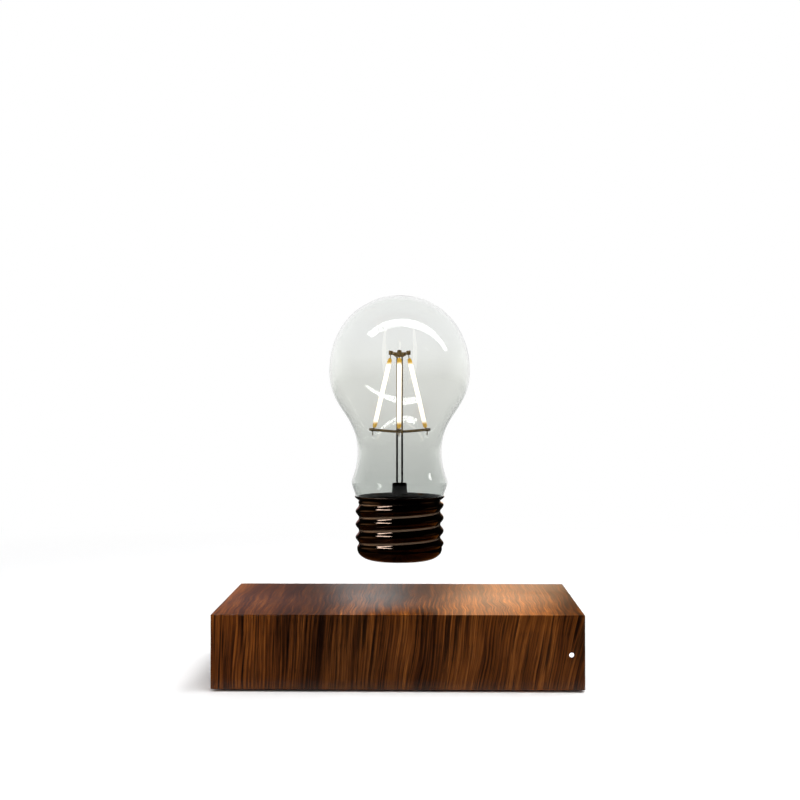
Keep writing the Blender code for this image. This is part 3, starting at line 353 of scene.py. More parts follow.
wood_low, wood_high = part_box("base_shell")
bpy.ops.mesh.primitive_plane_add(size=2, location=(0, 0, SHEET_LIFT))
sheet = bpy.context.object
sheet.scale = (wood_high.x + SHEET_MARGIN, wood_high.y + SHEET_MARGIN, 1)
bpy.ops.object.transform_apply(location=True, rotation=True, scale=True)
bpy.ops.object.mode_set(mode="EDIT")
bpy.ops.mesh.select_all(action="SELECT")
bpy.ops.mesh.delete(type="ONLY_FACE")
bpy.ops.mesh.select_all(action="SELECT")
bpy.ops.mesh.extrude_region_move()
bpy.ops.transform.resize(value=(DOME_RADIUS / wood_high.x, DOME_RADIUS / wood_high.y, 1))
bpy.ops.object.mode_set(mode="OBJECT")
reflections_only(sheet, "dark_sheet", cloth)

# %% [markdown]
# ## Bright strips
#
# A long white strip overhead makes the broad arc on the globe, and the far wall of the
# glass shows such a strip again, upside down, as the smile below. Each has its own card,
# because the real bulb leans a little and this one stands upright. The near wall sends
# light back after one to three bounces, and the far wall after more.

# %% Bright strips
STRIP_HEIGHT = 0.72
ARC_SIZE = (2.26, 0.18)
ARC_PLACE = (0.52, -0.172, STRIP_HEIGHT)
ARC_TURN = math.radians(6.1)
ARC_GLOW = 5.5
ARC_BOUNCES = (0.5, 3.5)
SMILE_SIZE = (1.72, 0.15)
SMILE_PLACE = (0.455, -0.43, STRIP_HEIGHT)
SMILE_TURN = math.radians(-10)
SMILE_GLOW = 9.0
SMILE_BOUNCES = (3.6, 8.4)


def card(size, place, aim=None, turn=0.0):
    """A flat card at a place that faces an aim, or else lies level, turned about Z."""
    facing = (0, 0, turn)
    if aim is not None:
        facing = (Vector(aim) - Vector(place)).to_track_quat("Z", "Y").to_euler()
    bpy.ops.object.select_all(action="DESELECT")
    bpy.ops.mesh.primitive_plane_add(size=1, location=place, rotation=facing)
    new = bpy.context.object
    new.scale = (*size, 1)
    bpy.ops.object.transform_apply(location=True, rotation=True, scale=True)
    return new


arc_finish = card_finish("white_arc_strip", strength=ARC_GLOW, bounces=ARC_BOUNCES)
reflections_only(card(ARC_SIZE, ARC_PLACE, turn=ARC_TURN), "arc_strip", arc_finish)
smile_finish = card_finish("white_smile_strip", strength=SMILE_GLOW, bounces=SMILE_BOUNCES)
reflections_only(card(SMILE_SIZE, SMILE_PLACE, turn=SMILE_TURN), "smile_strip", smile_finish)

# %% [markdown]
# ## Warm cards
#
# A small warm card high at the front left puts a pair of coppery lines on each turn of
# the thread. The rear card is the warm room that the lacquer of the box's top reflects,
# with a dark skirting along its foot. None of them shows to light that has gone through
# the glass.

# %% Warm cards
KEY_AZIMUTH = math.radians(58)
KEY_ELEVATION = math.radians(50)
KEY_DISTANCE = 1.0
KEY_SIZE = (0.66, 0.17)
KEY_GLOW = 45.0
ROOM_DISTANCE = 1.0
ROOM_SPAN = 0.9
ROOM_HEIGHT = 0.75
ROOM_GLOW = 2.6
SKIRTING_HEIGHT = 0.08
SKIRTING_STEP = 0.01

cap_low, cap_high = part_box("screw_cap")
cap_middle = (cap_low + cap_high) / 2
level = math.cos(KEY_ELEVATION) * KEY_DISTANCE
key_rise = math.sin(KEY_ELEVATION) * KEY_DISTANCE
key_step = Vector((-math.sin(KEY_AZIMUTH) * level, -math.cos(KEY_AZIMUTH) * level, key_rise))
warm = [(0, "#fffaf6"), (1, "#fffaf6")]
key_card = card(KEY_SIZE, cap_middle + key_step, cap_middle)
key_finish = card_finish("warm_bounce", warm, KEY_GLOW)
reflections_only(key_card, "key_card", key_finish, through_glass=False)

room_stops = [
    (0.24, "#7a5c58"),
    (0.34, "#584342"),
    (0.385, "#2c2a30"),
    (0.41, "#b0aeac"),
    (0.47, "#aeacaa"),
    (0.492, "#423e3c"),
    (0.54, "#6a5248"),
    (0.59, "#f2c49c"),
    (0.66, "#fccea6"),
    (0.695, "#d8ac84"),
    (0.72, "#6a5240"),
    (0.77, "#3c2e24"),
]
room_finish = card_finish("warm_room", room_stops, ROOM_GLOW, ROOM_SPAN / 2)
skirting_finish = card_finish("dark_skirting", dark)
for name, height, distance, finish in (
    ("room_card", ROOM_HEIGHT, ROOM_DISTANCE, room_finish),
    ("dark_skirting", SKIRTING_HEIGHT, ROOM_DISTANCE - SKIRTING_STEP, skirting_finish),
):
    standing = card((ROOM_SPAN, height), (0, distance, height / 2), (0, 0, height / 2))
    reflections_only(standing, name, finish, through_glass=False)

# %% [markdown]
# ## Tools for modelling
#
# A few short helpers do what the mouse does by hand: leave one object selected, pick
# edges or faces by their place, apply a modifier, cut with a Boolean, and move a
# finished piece's place into its mesh so that its object sits at the origin.

# %% Tools for selecting and finishing
MERGE = 0.001 * MM
SMOOTH_ANGLE = math.radians(35)
FACING = 0.9


def only(piece):
    """Leaves one object selected and active."""
    bpy.ops.object.select_all(action="DESELECT")
    piece.select_set(True)
    bpy.context.view_layer.objects.active = piece
    return piece


def pick(kind, test):
    """In edit mode, selects the EDGE or FACE parts that pass a test of part and middle."""
    bpy.ops.mesh.select_mode(type=kind)
    bpy.ops.mesh.select_all(action="DESELECT")
    mesh = bpy.context.edit_object.data
    shape = bmesh.from_edit_mesh(mesh)
    for part in {"EDGE": shape.edges, "FACE": shape.faces}[kind]:
        corners = [corner.co for corner in part.verts]
        if test(part, sum(corners, Vector()) / len(corners)):
            part.select_set(True)
    bmesh.update_edit_mesh(mesh)


def apply_modifier(piece, kind, **settings):
    """Adds one modifier with its settings and applies it at once."""
    only(piece)
    modifier = piece.modifiers.new(kind.lower(), kind)
    for key, value in settings.items():
        setattr(modifier, key, value)
    bpy.ops.object.modifier_apply(modifier=modifier.name)


def carve(piece, tool, operation="DIFFERENCE"):
    """Cuts a piece with a tool, or joins the two, and removes the tool."""
    apply_modifier(piece, "BOOLEAN", object=tool, operation=operation, solver="EXACT")
    bpy.data.objects.remove(tool)


def settle(piece, name, body, material, replaced=()):
    """Finishes a piece: its name, place, smooth faces, material, body and the CAD nodes it hides.
    """
    only(piece)
    bpy.ops.object.transform_apply(location=True, rotation=True, scale=True)
    bpy.ops.object.shade_smooth_by_angle(angle=SMOOTH_ANGLE)
    piece.name = name
    piece.data.name = name
    piece.data.materials.clear()
    piece.data.materials.append(material)
    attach(piece, body)
    if replaced:
        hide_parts(*replaced)
    print(name, "has", len(piece.data.polygons), "faces")


print("tools for selecting and finishing are ready")

# %% [markdown]
# Most pieces start from one of three blanks: a block between two corners, a round bar
# between two points, or an outline that is spun about the axis, as on a lathe.

# %% Blanks
def block(low, high):
    """A block between two corners."""
    low, high = Vector(low), Vector(high)
    bpy.ops.object.select_all(action="DESELECT")
    bpy.ops.mesh.primitive_cube_add(size=1, location=(low + high) / 2)
    piece = bpy.context.object
    piece.scale = high - low
    bpy.ops.object.transform_apply(location=True, rotation=True, scale=True)
    return piece


def cylinder(radius, low, high, steps=32):
    """A round bar from one point to another."""
    low, high = Vector(low), Vector(high)
    bpy.ops.object.select_all(action="DESELECT")
    bpy.ops.mesh.primitive_cylinder_add(
        vertices=steps,
        radius=radius,
        depth=(high - low).length,
        location=(low + high) / 2,
        rotation=(high - low).to_track_quat("Z", "Y").to_euler(),
    )
    return bpy.context.object


def turned(outline, steps, ring=False):
    """Spins an outline of (radius, height) points about Z, closed to a ring if told so."""
    mesh = bpy.data.meshes.new("turned")
    links = [(i, i + 1) for i in range(len(outline) - 1)]
    if ring:
        links.append((len(outline) - 1, 0))
    mesh.from_pydata([(radius, 0, height) for radius, height in outline], links, [])
    piece = bpy.data.objects.new("turned", mesh)
    bpy.context.collection.objects.link(piece)
    only(piece)
    bpy.ops.object.mode_set(mode="EDIT")
    bpy.ops.mesh.select_all(action="SELECT")
    bpy.ops.mesh.spin(steps=steps, angle=2 * math.pi, center=(0, 0, 0), axis=(0, 0, 1))
    bpy.ops.mesh.select_all(action="SELECT")
    bpy.ops.mesh.remove_doubles(threshold=MERGE)
    bpy.ops.mesh.normals_make_consistent(inside=False)
    bpy.ops.object.mode_set(mode="OBJECT")
    return piece


def arc(centre, radius, start, end, rows):
    """Points of an outline along an arc, with both ends."""
    points = []
    for row in range(rows + 1):
        angle = math.radians(start + (end - start) * row / rows)
        points.append((centre[0] + radius * math.cos(angle), centre[1] + radius * math.sin(angle)))
    return points


print("blanks are ready")

# %% [markdown]
# ## Walnut veneer
#
# The box is covered in sliced walnut under a satin lacquer. Walnut shows dark and light
# bands a centimetre wide, thin dark streaks, a fine fibre, and short open pores. All
# of them are noise that is stretched along the grain, at scales in millimetres, and a
# slow wave bends them together. The sheet is folded over the box, so the pattern reads
# the piece's own UV map, which holds the unrolled sheet in metres: U across the grain
# and V along it. On the front the grain leans, and more so towards the right. On the top
# it curls a little, but not at the front and rear edges, where it runs on over the fold.

# %% Walnut grain
fold_x, fold_y = wood_high.x, wood_high.y
TINY = 0.05 * MM
BAND_WIDTH = 11 * MM
BAND_LENGTH = 14 * BAND_WIDTH
STREAK_WIDTH = 0.8 * MM
STREAK_LENGTH = 50 * STREAK_WIDTH
LINE_WIDTH = 0.95 * MM
LINE_LENGTH = 40 * LINE_WIDTH
FIBRE_WIDTH = 0.42 * MM
FIBRE_LENGTH = 28 * FIBRE_WIDTH
PORE_WIDTH = 0.30 * MM
PORE_LENGTH = 5.0 * MM
WAVE_WIDTH = 26 * MM
WAVE_LENGTH = 42 * MM
WAVE_REACH = 5.0 * MM
CURL_WIDTH = 16 * MM
CURL_LENGTH = 13 * MM
CURL_REACH = 1.4 * MM
CURL_MARGIN = 8 * MM
LEAN_AT_RIGHT = 0.22
BOX_HEIGHT = 30 * MM
NOISE_ROUGHNESS = 0.55

lacquer = {"Roughness": 0.4, "IOR": 1.45, "Specular IOR Level": 0.18}
walnut, tree, shader = new_finish("lacquered_walnut_veneer", lacquer)
sheet = add_node(tree, "TexCoord").outputs["UV"]


def stretched_noise(source, width, length, detail, shift):
    """Noise on the walnut sheet, so wide across the grain and so long along it."""
    squeeze = (1 / width, 1 / length, 1)
    moved = {"Vector": source, "Location": (shift, shift, shift), "Scale": squeeze}
    scaled = add_node(tree, "Mapping", moved)
    cloud = {"Vector": scaled, "Scale": 1.0, "Detail": detail, "Roughness": NOISE_ROUGHNESS}
    return add_node(tree, "TexNoise", cloud)


places = add_node(tree, "SeparateXYZ", {0: sheet})
across, along = places.outputs["X"], places.outputs["Y"]
past = []
for place, fold in ((across, fold_x), (along, fold_y)):
    away = add_node(tree, "Math", {0: place}, operation="ABSOLUTE")
    past.append(add_node(tree, "Math", {0: away, 1: fold}, operation="SUBTRACT"))
farthest = add_node(tree, "Math", {0: past[0], 1: past[1]}, operation="MAXIMUM")
on_top = add_node(tree, "MapRange", from_to(farthest, -TINY, TINY, 1.0, 0.0))
wave = stretched_noise(sheet, WAVE_WIDTH, WAVE_LENGTH, detail=1.0, shift=0.0)
curl = stretched_noise(sheet, CURL_WIDTH, CURL_LENGTH, detail=0.0, shift=4.4)
curl = add_node(tree, "Math", {0: curl, 1: 0.5}, operation="SUBTRACT")
inwards = add_node(tree, "MapRange", from_to(past[1], -CURL_MARGIN, 0.0, CURL_REACH, 0.0))
curl = add_node(tree, "Math", {0: curl, 1: inwards}, operation="MULTIPLY")
front_fold = from_to(along, -fold_y - BOX_HEIGHT, -fold_y, BOX_HEIGHT, 0.0)
down_front = add_node(tree, "MapRange", front_fold)
lean = add_node(tree, "MapRange", from_to(across, -fold_x, fold_x, 0.0, LEAN_AT_RIGHT))
push = {0: wave, 1: WAVE_REACH, 2: -WAVE_REACH / 2}
push = add_node(tree, "Math", push, operation="MULTIPLY_ADD")
push = add_node(tree, "Math", {0: curl, 1: on_top, 2: push}, operation="MULTIPLY_ADD")
push = add_node(tree, "Math", {0: lean, 1: down_front, 2: push}, operation="MULTIPLY_ADD")
step_aside = add_node(tree, "CombineXYZ", {"X": push})
grain = add_node(tree, "VectorMath", {0: sheet, 1: step_aside}, operation="ADD")
bands = stretched_noise(grain, BAND_WIDTH, BAND_LENGTH, detail=1.0, shift=3.1)
streaks = stretched_noise(grain, STREAK_WIDTH, STREAK_LENGTH, detail=3.0, shift=7.7)
lines = stretched_noise(grain, LINE_WIDTH, LINE_LENGTH, detail=2.0, shift=12.9)
fibre = stretched_noise(grain, FIBRE_WIDTH, FIBRE_LENGTH, detail=2.0, shift=5.3)
pores = stretched_noise(grain, PORE_WIDTH, PORE_LENGTH, detail=0.0, shift=21.0)
print("walnut grain with", len(tree.nodes), "nodes")

# %% [markdown]
# The heartwood left of the middle is the darkest. The top is painted paler than the
# sides, with softer lines, as painted light for the stronger light and sheen it gets,
# and its tone from left to right is a painted reflection. The pores are drawn about
# twice as wide as real ones, so that they show. The lacquer fills the grain, so the
# gloss differs little from fibre to fibre, and the fibre and the pores leave only a
# shallow relief.

# %% Walnut colour and lacquer
BAND_SHARE = 0.36
# Painted light: how much paler the top is painted than the sides, and how much softer its lines
TOP_PAINTED_LIGHT = 2.45
PAINTED_TOP_LINE_LIGHT = 0.62
PORE_DEPTH = 0.02 * MM
# Each holds the values of a noise between which a tone changes, and both tones.
LINE_TONES = (0.39, 0.47, 0.26, 0.96)
FIBRE_TONES = (0.3, 0.7, 0.70, 1.30)
PORE_TONES = (0.66, 0.72, 1.0, 0.6)
LACQUER_ROUGHNESS = (0.27, 0.35)

tone = add_node(tree, "Math", {0: streaks, 1: 1 - BAND_SHARE}, operation="MULTIPLY")
tone = add_node(tree, "Math", {0: bands, 1: BAND_SHARE, 2: tone}, operation="MULTIPLY_ADD")
wood_stops = [
    (0.36, "#260f01"),
    (0.44, "#421d02"),
    (0.50, "#5a2d05"),
    (0.56, "#6e3a0a"),
    (0.64, "#864c18"),
]
wood = add_node(tree, "ValToRGB", {0: tone}, wood_stops)
line_tone = add_node(tree, "MapRange", from_to(lines, *LINE_TONES))
least = add_node(tree, "Math", {0: on_top, 1: PAINTED_TOP_LINE_LIGHT}, operation="MULTIPLY")
line_tone = add_node(tree, "Math", {0: line_tone, 1: least}, operation="MAXIMUM")
fibre_tone = add_node(tree, "MapRange", from_to(fibre, *FIBRE_TONES))
pore_tone = add_node(tree, "MapRange", from_to(pores, *PORE_TONES))


def tone_across(greys):
    """A slow change of tone from the left edge of the sheet to the right one."""
    share = add_node(tree, "MapRange", from_to(across, -fold_x, fold_x))
    last = len(greys) - 1
    stops = [(place / last, f"#{grey}{grey}{grey}") for place, grey in enumerate(greys)]
    return add_node(tree, "ValToRGB", {0: share}, stops)


front_leaf = tone_across(["ff", "f0", "b8", "a0", "c0", "c6", "cc", "c8", "c6"])
# Painted reflection: the top's tone from left to right, which is then painted paler as painted
# light
top_painted_light = tone_across(["c6", "b0", "90", "dc", "c4", "d4", "eb", "e6", "a8"])
painted_top_light = add_node(tree, "Math", {0: top_painted_light, 1: TOP_PAINTED_LIGHT}, operation="MULTIPLY")
leaf_tone_and_top_light = add_node(tree, "Mix", {0: on_top, 2: front_leaf, 3: painted_top_light}, data_type="FLOAT")
shade = line_tone
for tone in (fibre_tone, pore_tone, leaf_tone_and_top_light):
    shade = add_node(tree, "Math", {0: shade, 1: tone}, operation="MULTIPLY")
colour = add_node(tree, "VectorMath", {0: wood, "Scale": shade}, operation="SCALE")
gloss = add_node(tree, "MapRange", from_to(fibre, 0.0, 1.0, *LACQUER_ROUGHNESS))
relief = add_node(tree, "Math", {0: fibre, 1: pore_tone}, operation="ADD")
relief = add_node(tree, "Math", {0: relief, 1: 0.5}, operation="MULTIPLY")
bump = add_node(tree, "Bump", {"Strength": 0.35, "Distance": PORE_DEPTH, "Height": relief})
feed(shader, {"Base Color": colour, "Roughness": gloss, "Normal": bump})
print("walnut with", len(tree.nodes), "nodes")

# %% [markdown]
# ## The walnut box
#
# The box is one cube at its real size. The underside is inset by the wall's thickness
# and pushed up to make the hollow, and only then are the twelve outer edges bevelled:
# an inset that is wider than a corner's rounding would cross itself. Round posts for
# the cover's screws are joined in the corners. Holes for the power plug and for the
# small light are cut last.

# %% Walnut box
WALL = 4 * MM
ROOF = 2 * MM
EDGE_ROUND = 0.35 * MM
FINE_GAP = 0.2 * MM
GAP = 0.3 * MM
POST_RADIUS = 4.2 * MM
SCREW_SHANK = 1.3 * MM
SCREW_HOLE_DEPTH = 5 * MM
COVER_THICKNESS = 2 * MM

screw_low, screw_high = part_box("cover_screw_rear_right")
post_x = (screw_low.x + screw_high.x) / 2
post_y = (screw_low.y + screw_high.y) / 2
post_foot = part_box("bottom_cover")[0].z + COVER_THICKNESS + GAP


def corner_places(x, y):
    """Four places that mirror one another, from the rear right round to the front right."""
    return {
        "rear_right": (x, y),
        "rear_left": (-x, y),
        "front_left": (-x, -y),
        "front_right": (x, -y),
    }


box = block(wood_low, wood_high)
bpy.ops.object.mode_set(mode="EDIT")
pick("FACE", lambda face, middle: face.normal.z < -FACING)
bpy.ops.mesh.inset(thickness=WALL, depth=0)
rise = wood_high.z - ROOF - wood_low.z
bpy.ops.mesh.extrude_region_move(TRANSFORM_OT_translate={"value": (0, 0, rise)})
pick("EDGE", lambda edge, middle: max(abs(middle.x) - fold_x, abs(middle.y) - fold_y) > -TINY)
bpy.ops.mesh.bevel(offset=EDGE_ROUND, segments=3, affect="EDGES")
bpy.ops.object.mode_set(mode="OBJECT")

for x, y in corner_places(post_x, post_y).values():
    post = cylinder(POST_RADIUS, (x, y, post_foot), (x, y, wood_high.z - ROOF + TINY))
    carve(box, post, "UNION")
only(box)
bpy.ops.object.mode_set(mode="EDIT")
pick("FACE", lambda face, middle: face.normal.z < -FACING and abs(middle.z - post_foot) < TINY)
bpy.ops.mesh.inset(thickness=POST_RADIUS - SCREW_SHANK - FINE_GAP, depth=0, use_individual=True)
bpy.ops.mesh.extrude_region_move(TRANSFORM_OT_translate={"value": (0, 0, SCREW_HOLE_DEPTH)})
bpy.ops.object.mode_set(mode="OBJECT")
print("box with four posts:", len(box.data.polygons), "faces")

# %% Holes in the box
PAST = 1 * MM
WINDOW_RADIUS = 5.5 * MM
HOLE_CHAMFER = 0.35 * MM
LENS_RADIUS = 0.8 * MM
COLLAR_RADIUS = 1.1 * MM
COLLAR_FRONT = 3.5 * MM
COLLAR_SEAT = 2 * MM
RIM_SHARE = 0.05

socket_low, socket_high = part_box("power_socket")
socket_middle = (socket_low + socket_high) / 2
light_low, light_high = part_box("indicator_light")
light_middle = (light_low + light_high) / 2
rear, front = wood_high.y, wood_low.y


def drill(piece, middle, radius, start, end, steps=32):
    """Cuts a round hole that runs from front to rear between two places on Y."""
    ends = [(middle.x, y, middle.z) for y in (start, end)]
    carve(piece, cylinder(radius, *ends, steps))


def ease_rim(piece, middle, radius, y, width):
    """Bevels the rim of a round hole in a front or rear face."""

    def on_rim(edge, point):
        flat = all(abs(corner.co.y - y) < TINY for corner in edge.verts)
        away = math.hypot(point.x - middle.x, point.z - middle.z)
        return flat and abs(away - radius) < radius * RIM_SHARE

    only(piece)
    bpy.ops.object.mode_set(mode="EDIT")
    pick("EDGE", on_rim)
    bpy.ops.mesh.bevel(offset=width, segments=2, affect="EDGES")
    bpy.ops.object.mode_set(mode="OBJECT")


drill(box, socket_middle, WINDOW_RADIUS, rear - WALL - PAST, rear + PAST, 64)
drill(box, light_middle, LENS_RADIUS + FINE_GAP, front - PAST, front + WALL + PAST)
seat_front = light_low.y + COLLAR_FRONT - COLLAR_SEAT
drill(box, light_middle, COLLAR_RADIUS + FINE_GAP, seat_front, front + WALL + PAST)
ease_rim(box, socket_middle, WINDOW_RADIUS, rear, HOLE_CHAMFER)
print("holes for the plug and the light")

# %% The veneer's own map
def on_the_sheet(normal, point):
    """Where a point of the box lies on the flat sheet, before it is folded over the edges."""
    drop = wood_high.z - point.z
    if abs(normal.z) >= max(abs(normal.x), abs(normal.y)):
        return (point.x, point.y)
    if abs(normal.y) >= abs(normal.x):
        return (point.x, math.copysign(fold_y + drop, normal.y))
    return (math.copysign(fold_x + drop, normal.x), point.y)


veneer = box.data.uv_layers.active
veneer.name = "veneer"
for face in box.data.polygons:
    for loop in face.loop_indices:
        corner = box.data.vertices[box.data.loops[loop].vertex_index].co
        veneer.data[loop].uv = on_the_sheet(face.normal, corner)
settle(box, "walnut_box", "base", walnut, ["base_shell"])

# %% [markdown]
# ## Small moulded and metal finishes
#
# Most of the small pieces are one material with a fine mottle: moulded plastic has a
# faint spark-eroded grain, rubber a dusty bloom, zinc plating soft spangles. One
# function mixes two near tones by a noise at the grain's real size and gives the same
# noise to the roughness and the relief.

# %% Mottled finishes
ROUGHNESS_SPREAD = 0.15
METAL = {"Metallic": 1.0}
DULL = {"Specular IOR Level": 0.12}


def mottled(name, dark, pale, grain, depth, rough, values=None):
    """Two near tones mixed by a noise of a real grain size, with a shallow relief."""
    material, tree, shader = new_finish(name, values or {})
    where = add_node(tree, "TexCoord").outputs["Object"]
    noise = add_node(tree, "TexNoise", {"Vector": where, "Scale": 1 / grain, "Detail": 3.0})
    tones = add_node(tree, "ValToRGB", {0: noise}, [(0.35, dark), (0.65, pale)])
    low, high = rough * (1 - ROUGHNESS_SPREAD), rough * (1 + ROUGHNESS_SPREAD)
    gloss = add_node(tree, "MapRange", from_to(noise, 0.0, 1.0, low, high))
    bump = add_node(tree, "Bump", {"Strength": 0.4, "Distance": depth, "Height": noise})
    feed(shader, {"Base Color": tones, "Roughness": gloss, "Normal": bump})
    return material


black_abs = mottled("moulded_black_abs", "#0c0c0d", "#151516", 0.25 * MM, 0.01 * MM, 0.5)
black_ceramic = ("matte_black_ceramic", "#060707", "#0c0d0d", 0.3 * MM, 0.02 * MM, 0.75, DULL)
matte_black = mottled(*black_ceramic)
pale_abs = mottled("moulded_pale_abs", "#c3c3bd", "#d3d3cd", 0.4 * MM, 0.01 * MM, 0.5)
rubber = mottled("black_rubber", "#171717", "#242423", 0.3 * MM, 0.02 * MM, 0.85)
zinc = mottled("zinc_plated_steel", "#b7b9bd", "#cfd1d4", 0.8 * MM, 0.005 * MM, 0.32, METAL)
iron = mottled("soft_iron", "#6c6c6f", "#858589", 0.5 * MM, 0.02 * MM, 0.5, METAL)
ferrite = mottled("sintered_ferrite", "#2c2c2f", "#3d3d41", 0.4 * MM, 0.02 * MM, 0.65)
nickel = mottled("nickel_plated_magnet", "#cfccc4", "#e0ddd6", 1.5 * MM, 0.004 * MM, 0.18, METAL)
resin = mottled("moulded_chip_resin", "#151516", "#222224", 0.15 * MM, 0.01 * MM, 0.55)
can = mottled("drawn_aluminium_can", "#bfc1c4", "#d6d8da", 0.6 * MM, 0.006 * MM, 0.3, METAL)
print("mottled finishes for plastics, rubber, iron and plated metal")

# %% [markdown]
# Enamelled copper coils show their turns as fine even bands, so a wave texture stands
# at the wire's pitch. A circuit board is glass laminate under a green mask, through
# which copper tracks show a little paler and a little raised.

# %% Copper windings and circuit boards
WIRE_PITCH = 0.45 * MM
WAVE_PERIOD = math.pi / 10  # of the wave texture at a scale of 1
TRACK_PITCH = 2.2 * MM
TRACK_HEIGHT = 0.03 * MM


def wound(name, **lay):
    """Enamelled copper whose turns lie in bands or rings at the wire's pitch."""
    material, tree, shader = new_finish(name, {"Metallic": 1.0, "Roughness": 0.3})
    where = add_node(tree, "TexCoord").outputs["Object"]
    wave = add_node(tree, "TexWave", {"Vector": where, "Scale": WAVE_PERIOD / WIRE_PITCH}, **lay)
    turns = wave.outputs["Fac"]
    tones = add_node(tree, "ValToRGB", {0: turns}, [(0.1, "#7a3517"), (0.7, "#d98a5c")])
    raised = {"Strength": 0.8, "Distance": WIRE_PITCH / 4, "Height": turns}
    feed(shader, {"Base Color": tones, "Normal": add_node(tree, "Bump", raised)})
    return material


flat_coil = wound("enamelled_copper_rings", wave_type="RINGS", rings_direction="Z")
tall_coil = wound("enamelled_copper_bands", wave_type="BANDS", bands_direction="Z")
laminate, tree, shader = new_finish("green_circuit_board", {"Roughness": 0.35})
pattern = {
    "Vector": add_node(tree, "TexCoord").outputs["Object"],
    "Color1": linear("#0f4a2a"),
    "Color2": linear("#0c4025"),
    "Mortar": linear("#2c6b3f"),
    "Scale": 1 / (2 * TRACK_PITCH),
    "Mortar Size": 0.06,
}
tracks = add_node(tree, "TexBrick", pattern, offset=0.37, squash=1.6)
raised = {"Strength": 0.5, "Distance": TRACK_HEIGHT, "Height": tracks.outputs["Fac"]}
feed(shader, {"Base Color": tracks, "Normal": add_node(tree, "Bump", raised)})
print("copper turns every", WIRE_PITCH / MM, "mm")

# %% [markdown]
# ## The pieces inside
#
# What is sealed in the box and in the cap keeps its CAD shape. Each node only gets its
# finish, named by what its name starts with.

# %% Finishes of the CAD nodes
INSIDE = {
    "bottom_cover": black_abs,
    "main_board": laminate,
    "board_screw": zinc,
    "driver_chip": resin,
    "capacitor": can,
    "touch_plate": flat_coil,
    "touch_spring": zinc,
    "module_tray": pale_abs,
    "yoke_plate": iron,
    "magnet_ring": ferrite,
    "coil_bobbin": black_abs,
    "coil_winding": tall_coil,
    "coil_core": iron,
    "sensor_board": laminate,
    "hall_sensor": resin,
    "transmitter_coil": flat_coil,
    "float_magnet": nickel,
    "receiver_coil": flat_coil,
    "board_holder": pale_abs,
    "rectifier_board": laminate,
}
dressed = 0
for name, node in nodes.items():
    for start, material in INSIDE.items():
        if name.startswith(start):
            node.data.materials.clear()
            node.data.materials.append(material)
            dressed += 1
print(dressed, "CAD nodes have their finish")

# %% [markdown]
# ## Feet and screws under the box
#
# A stuck-on foot is a rubber button with a rounded rim, turned on the lathe from half
# of its section. A cross-head screw is turned the same way, and its cross is cut with
# two thin bars. Both are modelled once and copied to the four corners.

# %% Rubber feet
FOOT_ROUND = 0.4 * MM
foot_low, foot_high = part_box("rubber_foot_rear_right")
foot_radius = (foot_high.x - foot_low.x) / 2
foot_places = corner_places((foot_low.x + foot_high.x) / 2, (foot_low.y + foot_high.y) / 2)
outline = [(0, foot_high.z), (foot_radius - FINE_GAP, foot_high.z)]
outline += [(foot_radius, foot_high.z - FINE_GAP)]
outline += arc((foot_radius - FOOT_ROUND, FOOT_ROUND), FOOT_ROUND, 0, -90, rows=6)
outline += [(0, 0)]
pattern_foot = turned(outline, steps=64)


def copy_at(pattern, place):
    """A copy with a mesh of its own, moved to a place."""
    copy = pattern.copy()
    copy.data = pattern.data.copy()
    bpy.context.collection.objects.link(copy)
    copy.location = place
    return copy


for corner, (x, y) in foot_places.items():
    foot = copy_at(pattern_foot, (x, y, 0))
    settle(foot, f"foot_{corner}", "base", rubber, [f"rubber_foot_{corner}"])
bpy.data.objects.remove(pattern_foot)

# %% Cover screws
SCREW_HEAD = 2.6 * MM
HEAD_HEIGHT = 1.1 * MM
HEAD_EDGE = 0.25 * MM
CROSS_WIDTH = 0.6 * MM
CROSS_LENGTH = 2.8 * MM
CROSS_DEPTH = 0.7 * MM
SCREW_PITCH = 0.8 * MM
THREAD_CUT = 0.25 * MM
screw_root = SCREW_SHANK - THREAD_CUT
screw_length = screw_high.z - screw_low.z
outline = [(0, 0), (SCREW_HEAD - HEAD_EDGE, 0), (SCREW_HEAD, HEAD_EDGE), (SCREW_HEAD, HEAD_HEIGHT)]
outline += [(screw_root, HEAD_HEIGHT)]
turns = int((screw_length - HEAD_HEIGHT) / SCREW_PITCH) - 1
for turn in range(turns):
    start = HEAD_HEIGHT + SCREW_PITCH * (turn + 0.5)
    outline += [(screw_root, start), (SCREW_SHANK, start + SCREW_PITCH / 2)]
outline += [(screw_root, screw_length - SCREW_PITCH), (0, screw_length)]
pattern_screw = turned(outline, steps=32)
for across, along in ((CROSS_WIDTH, CROSS_LENGTH), (CROSS_LENGTH, CROSS_WIDTH)):
    corner = Vector((across / 2, along / 2, CROSS_DEPTH))
    carve(pattern_screw, block(-corner, corner))
for corner, (x, y) in corner_places(post_x, post_y).items():
    screw = copy_at(pattern_screw, (x, y, screw_low.z))
    settle(screw, f"screw_{corner}", "base", zinc, [f"cover_screw_{corner}"])
bpy.data.objects.remove(pattern_screw)

# %% [markdown]
# ## Power socket and light
#
# The socket behind the rear window is a black block with a flared round mouth and a
# metal pin in its middle. The small light in the front is a clear white lens, a little
# domed, that stands flush in its hole.

# %% Power socket
SOCKET_EDGE = 0.4 * MM
BORE_RADIUS = 3.2 * MM
BORE_DEPTH = 9 * MM
MOUTH_FLARE = 0.4 * MM
PIN_RADIUS = 1.0 * MM
PIN_SETBACK = 1.0 * MM
LINING = 0.35 * MM

mouth = socket_high.y
socket = block(socket_low, socket_high)
apply_modifier(socket, "BEVEL", width=SOCKET_EDGE, segments=3)
drill(socket, socket_middle, BORE_RADIUS, mouth - BORE_DEPTH, mouth + PAST, 64)
ease_rim(socket, socket_middle, BORE_RADIUS, mouth, MOUTH_FLARE)
settle(socket, "socket_body", "base", black_abs, ["power_socket"])

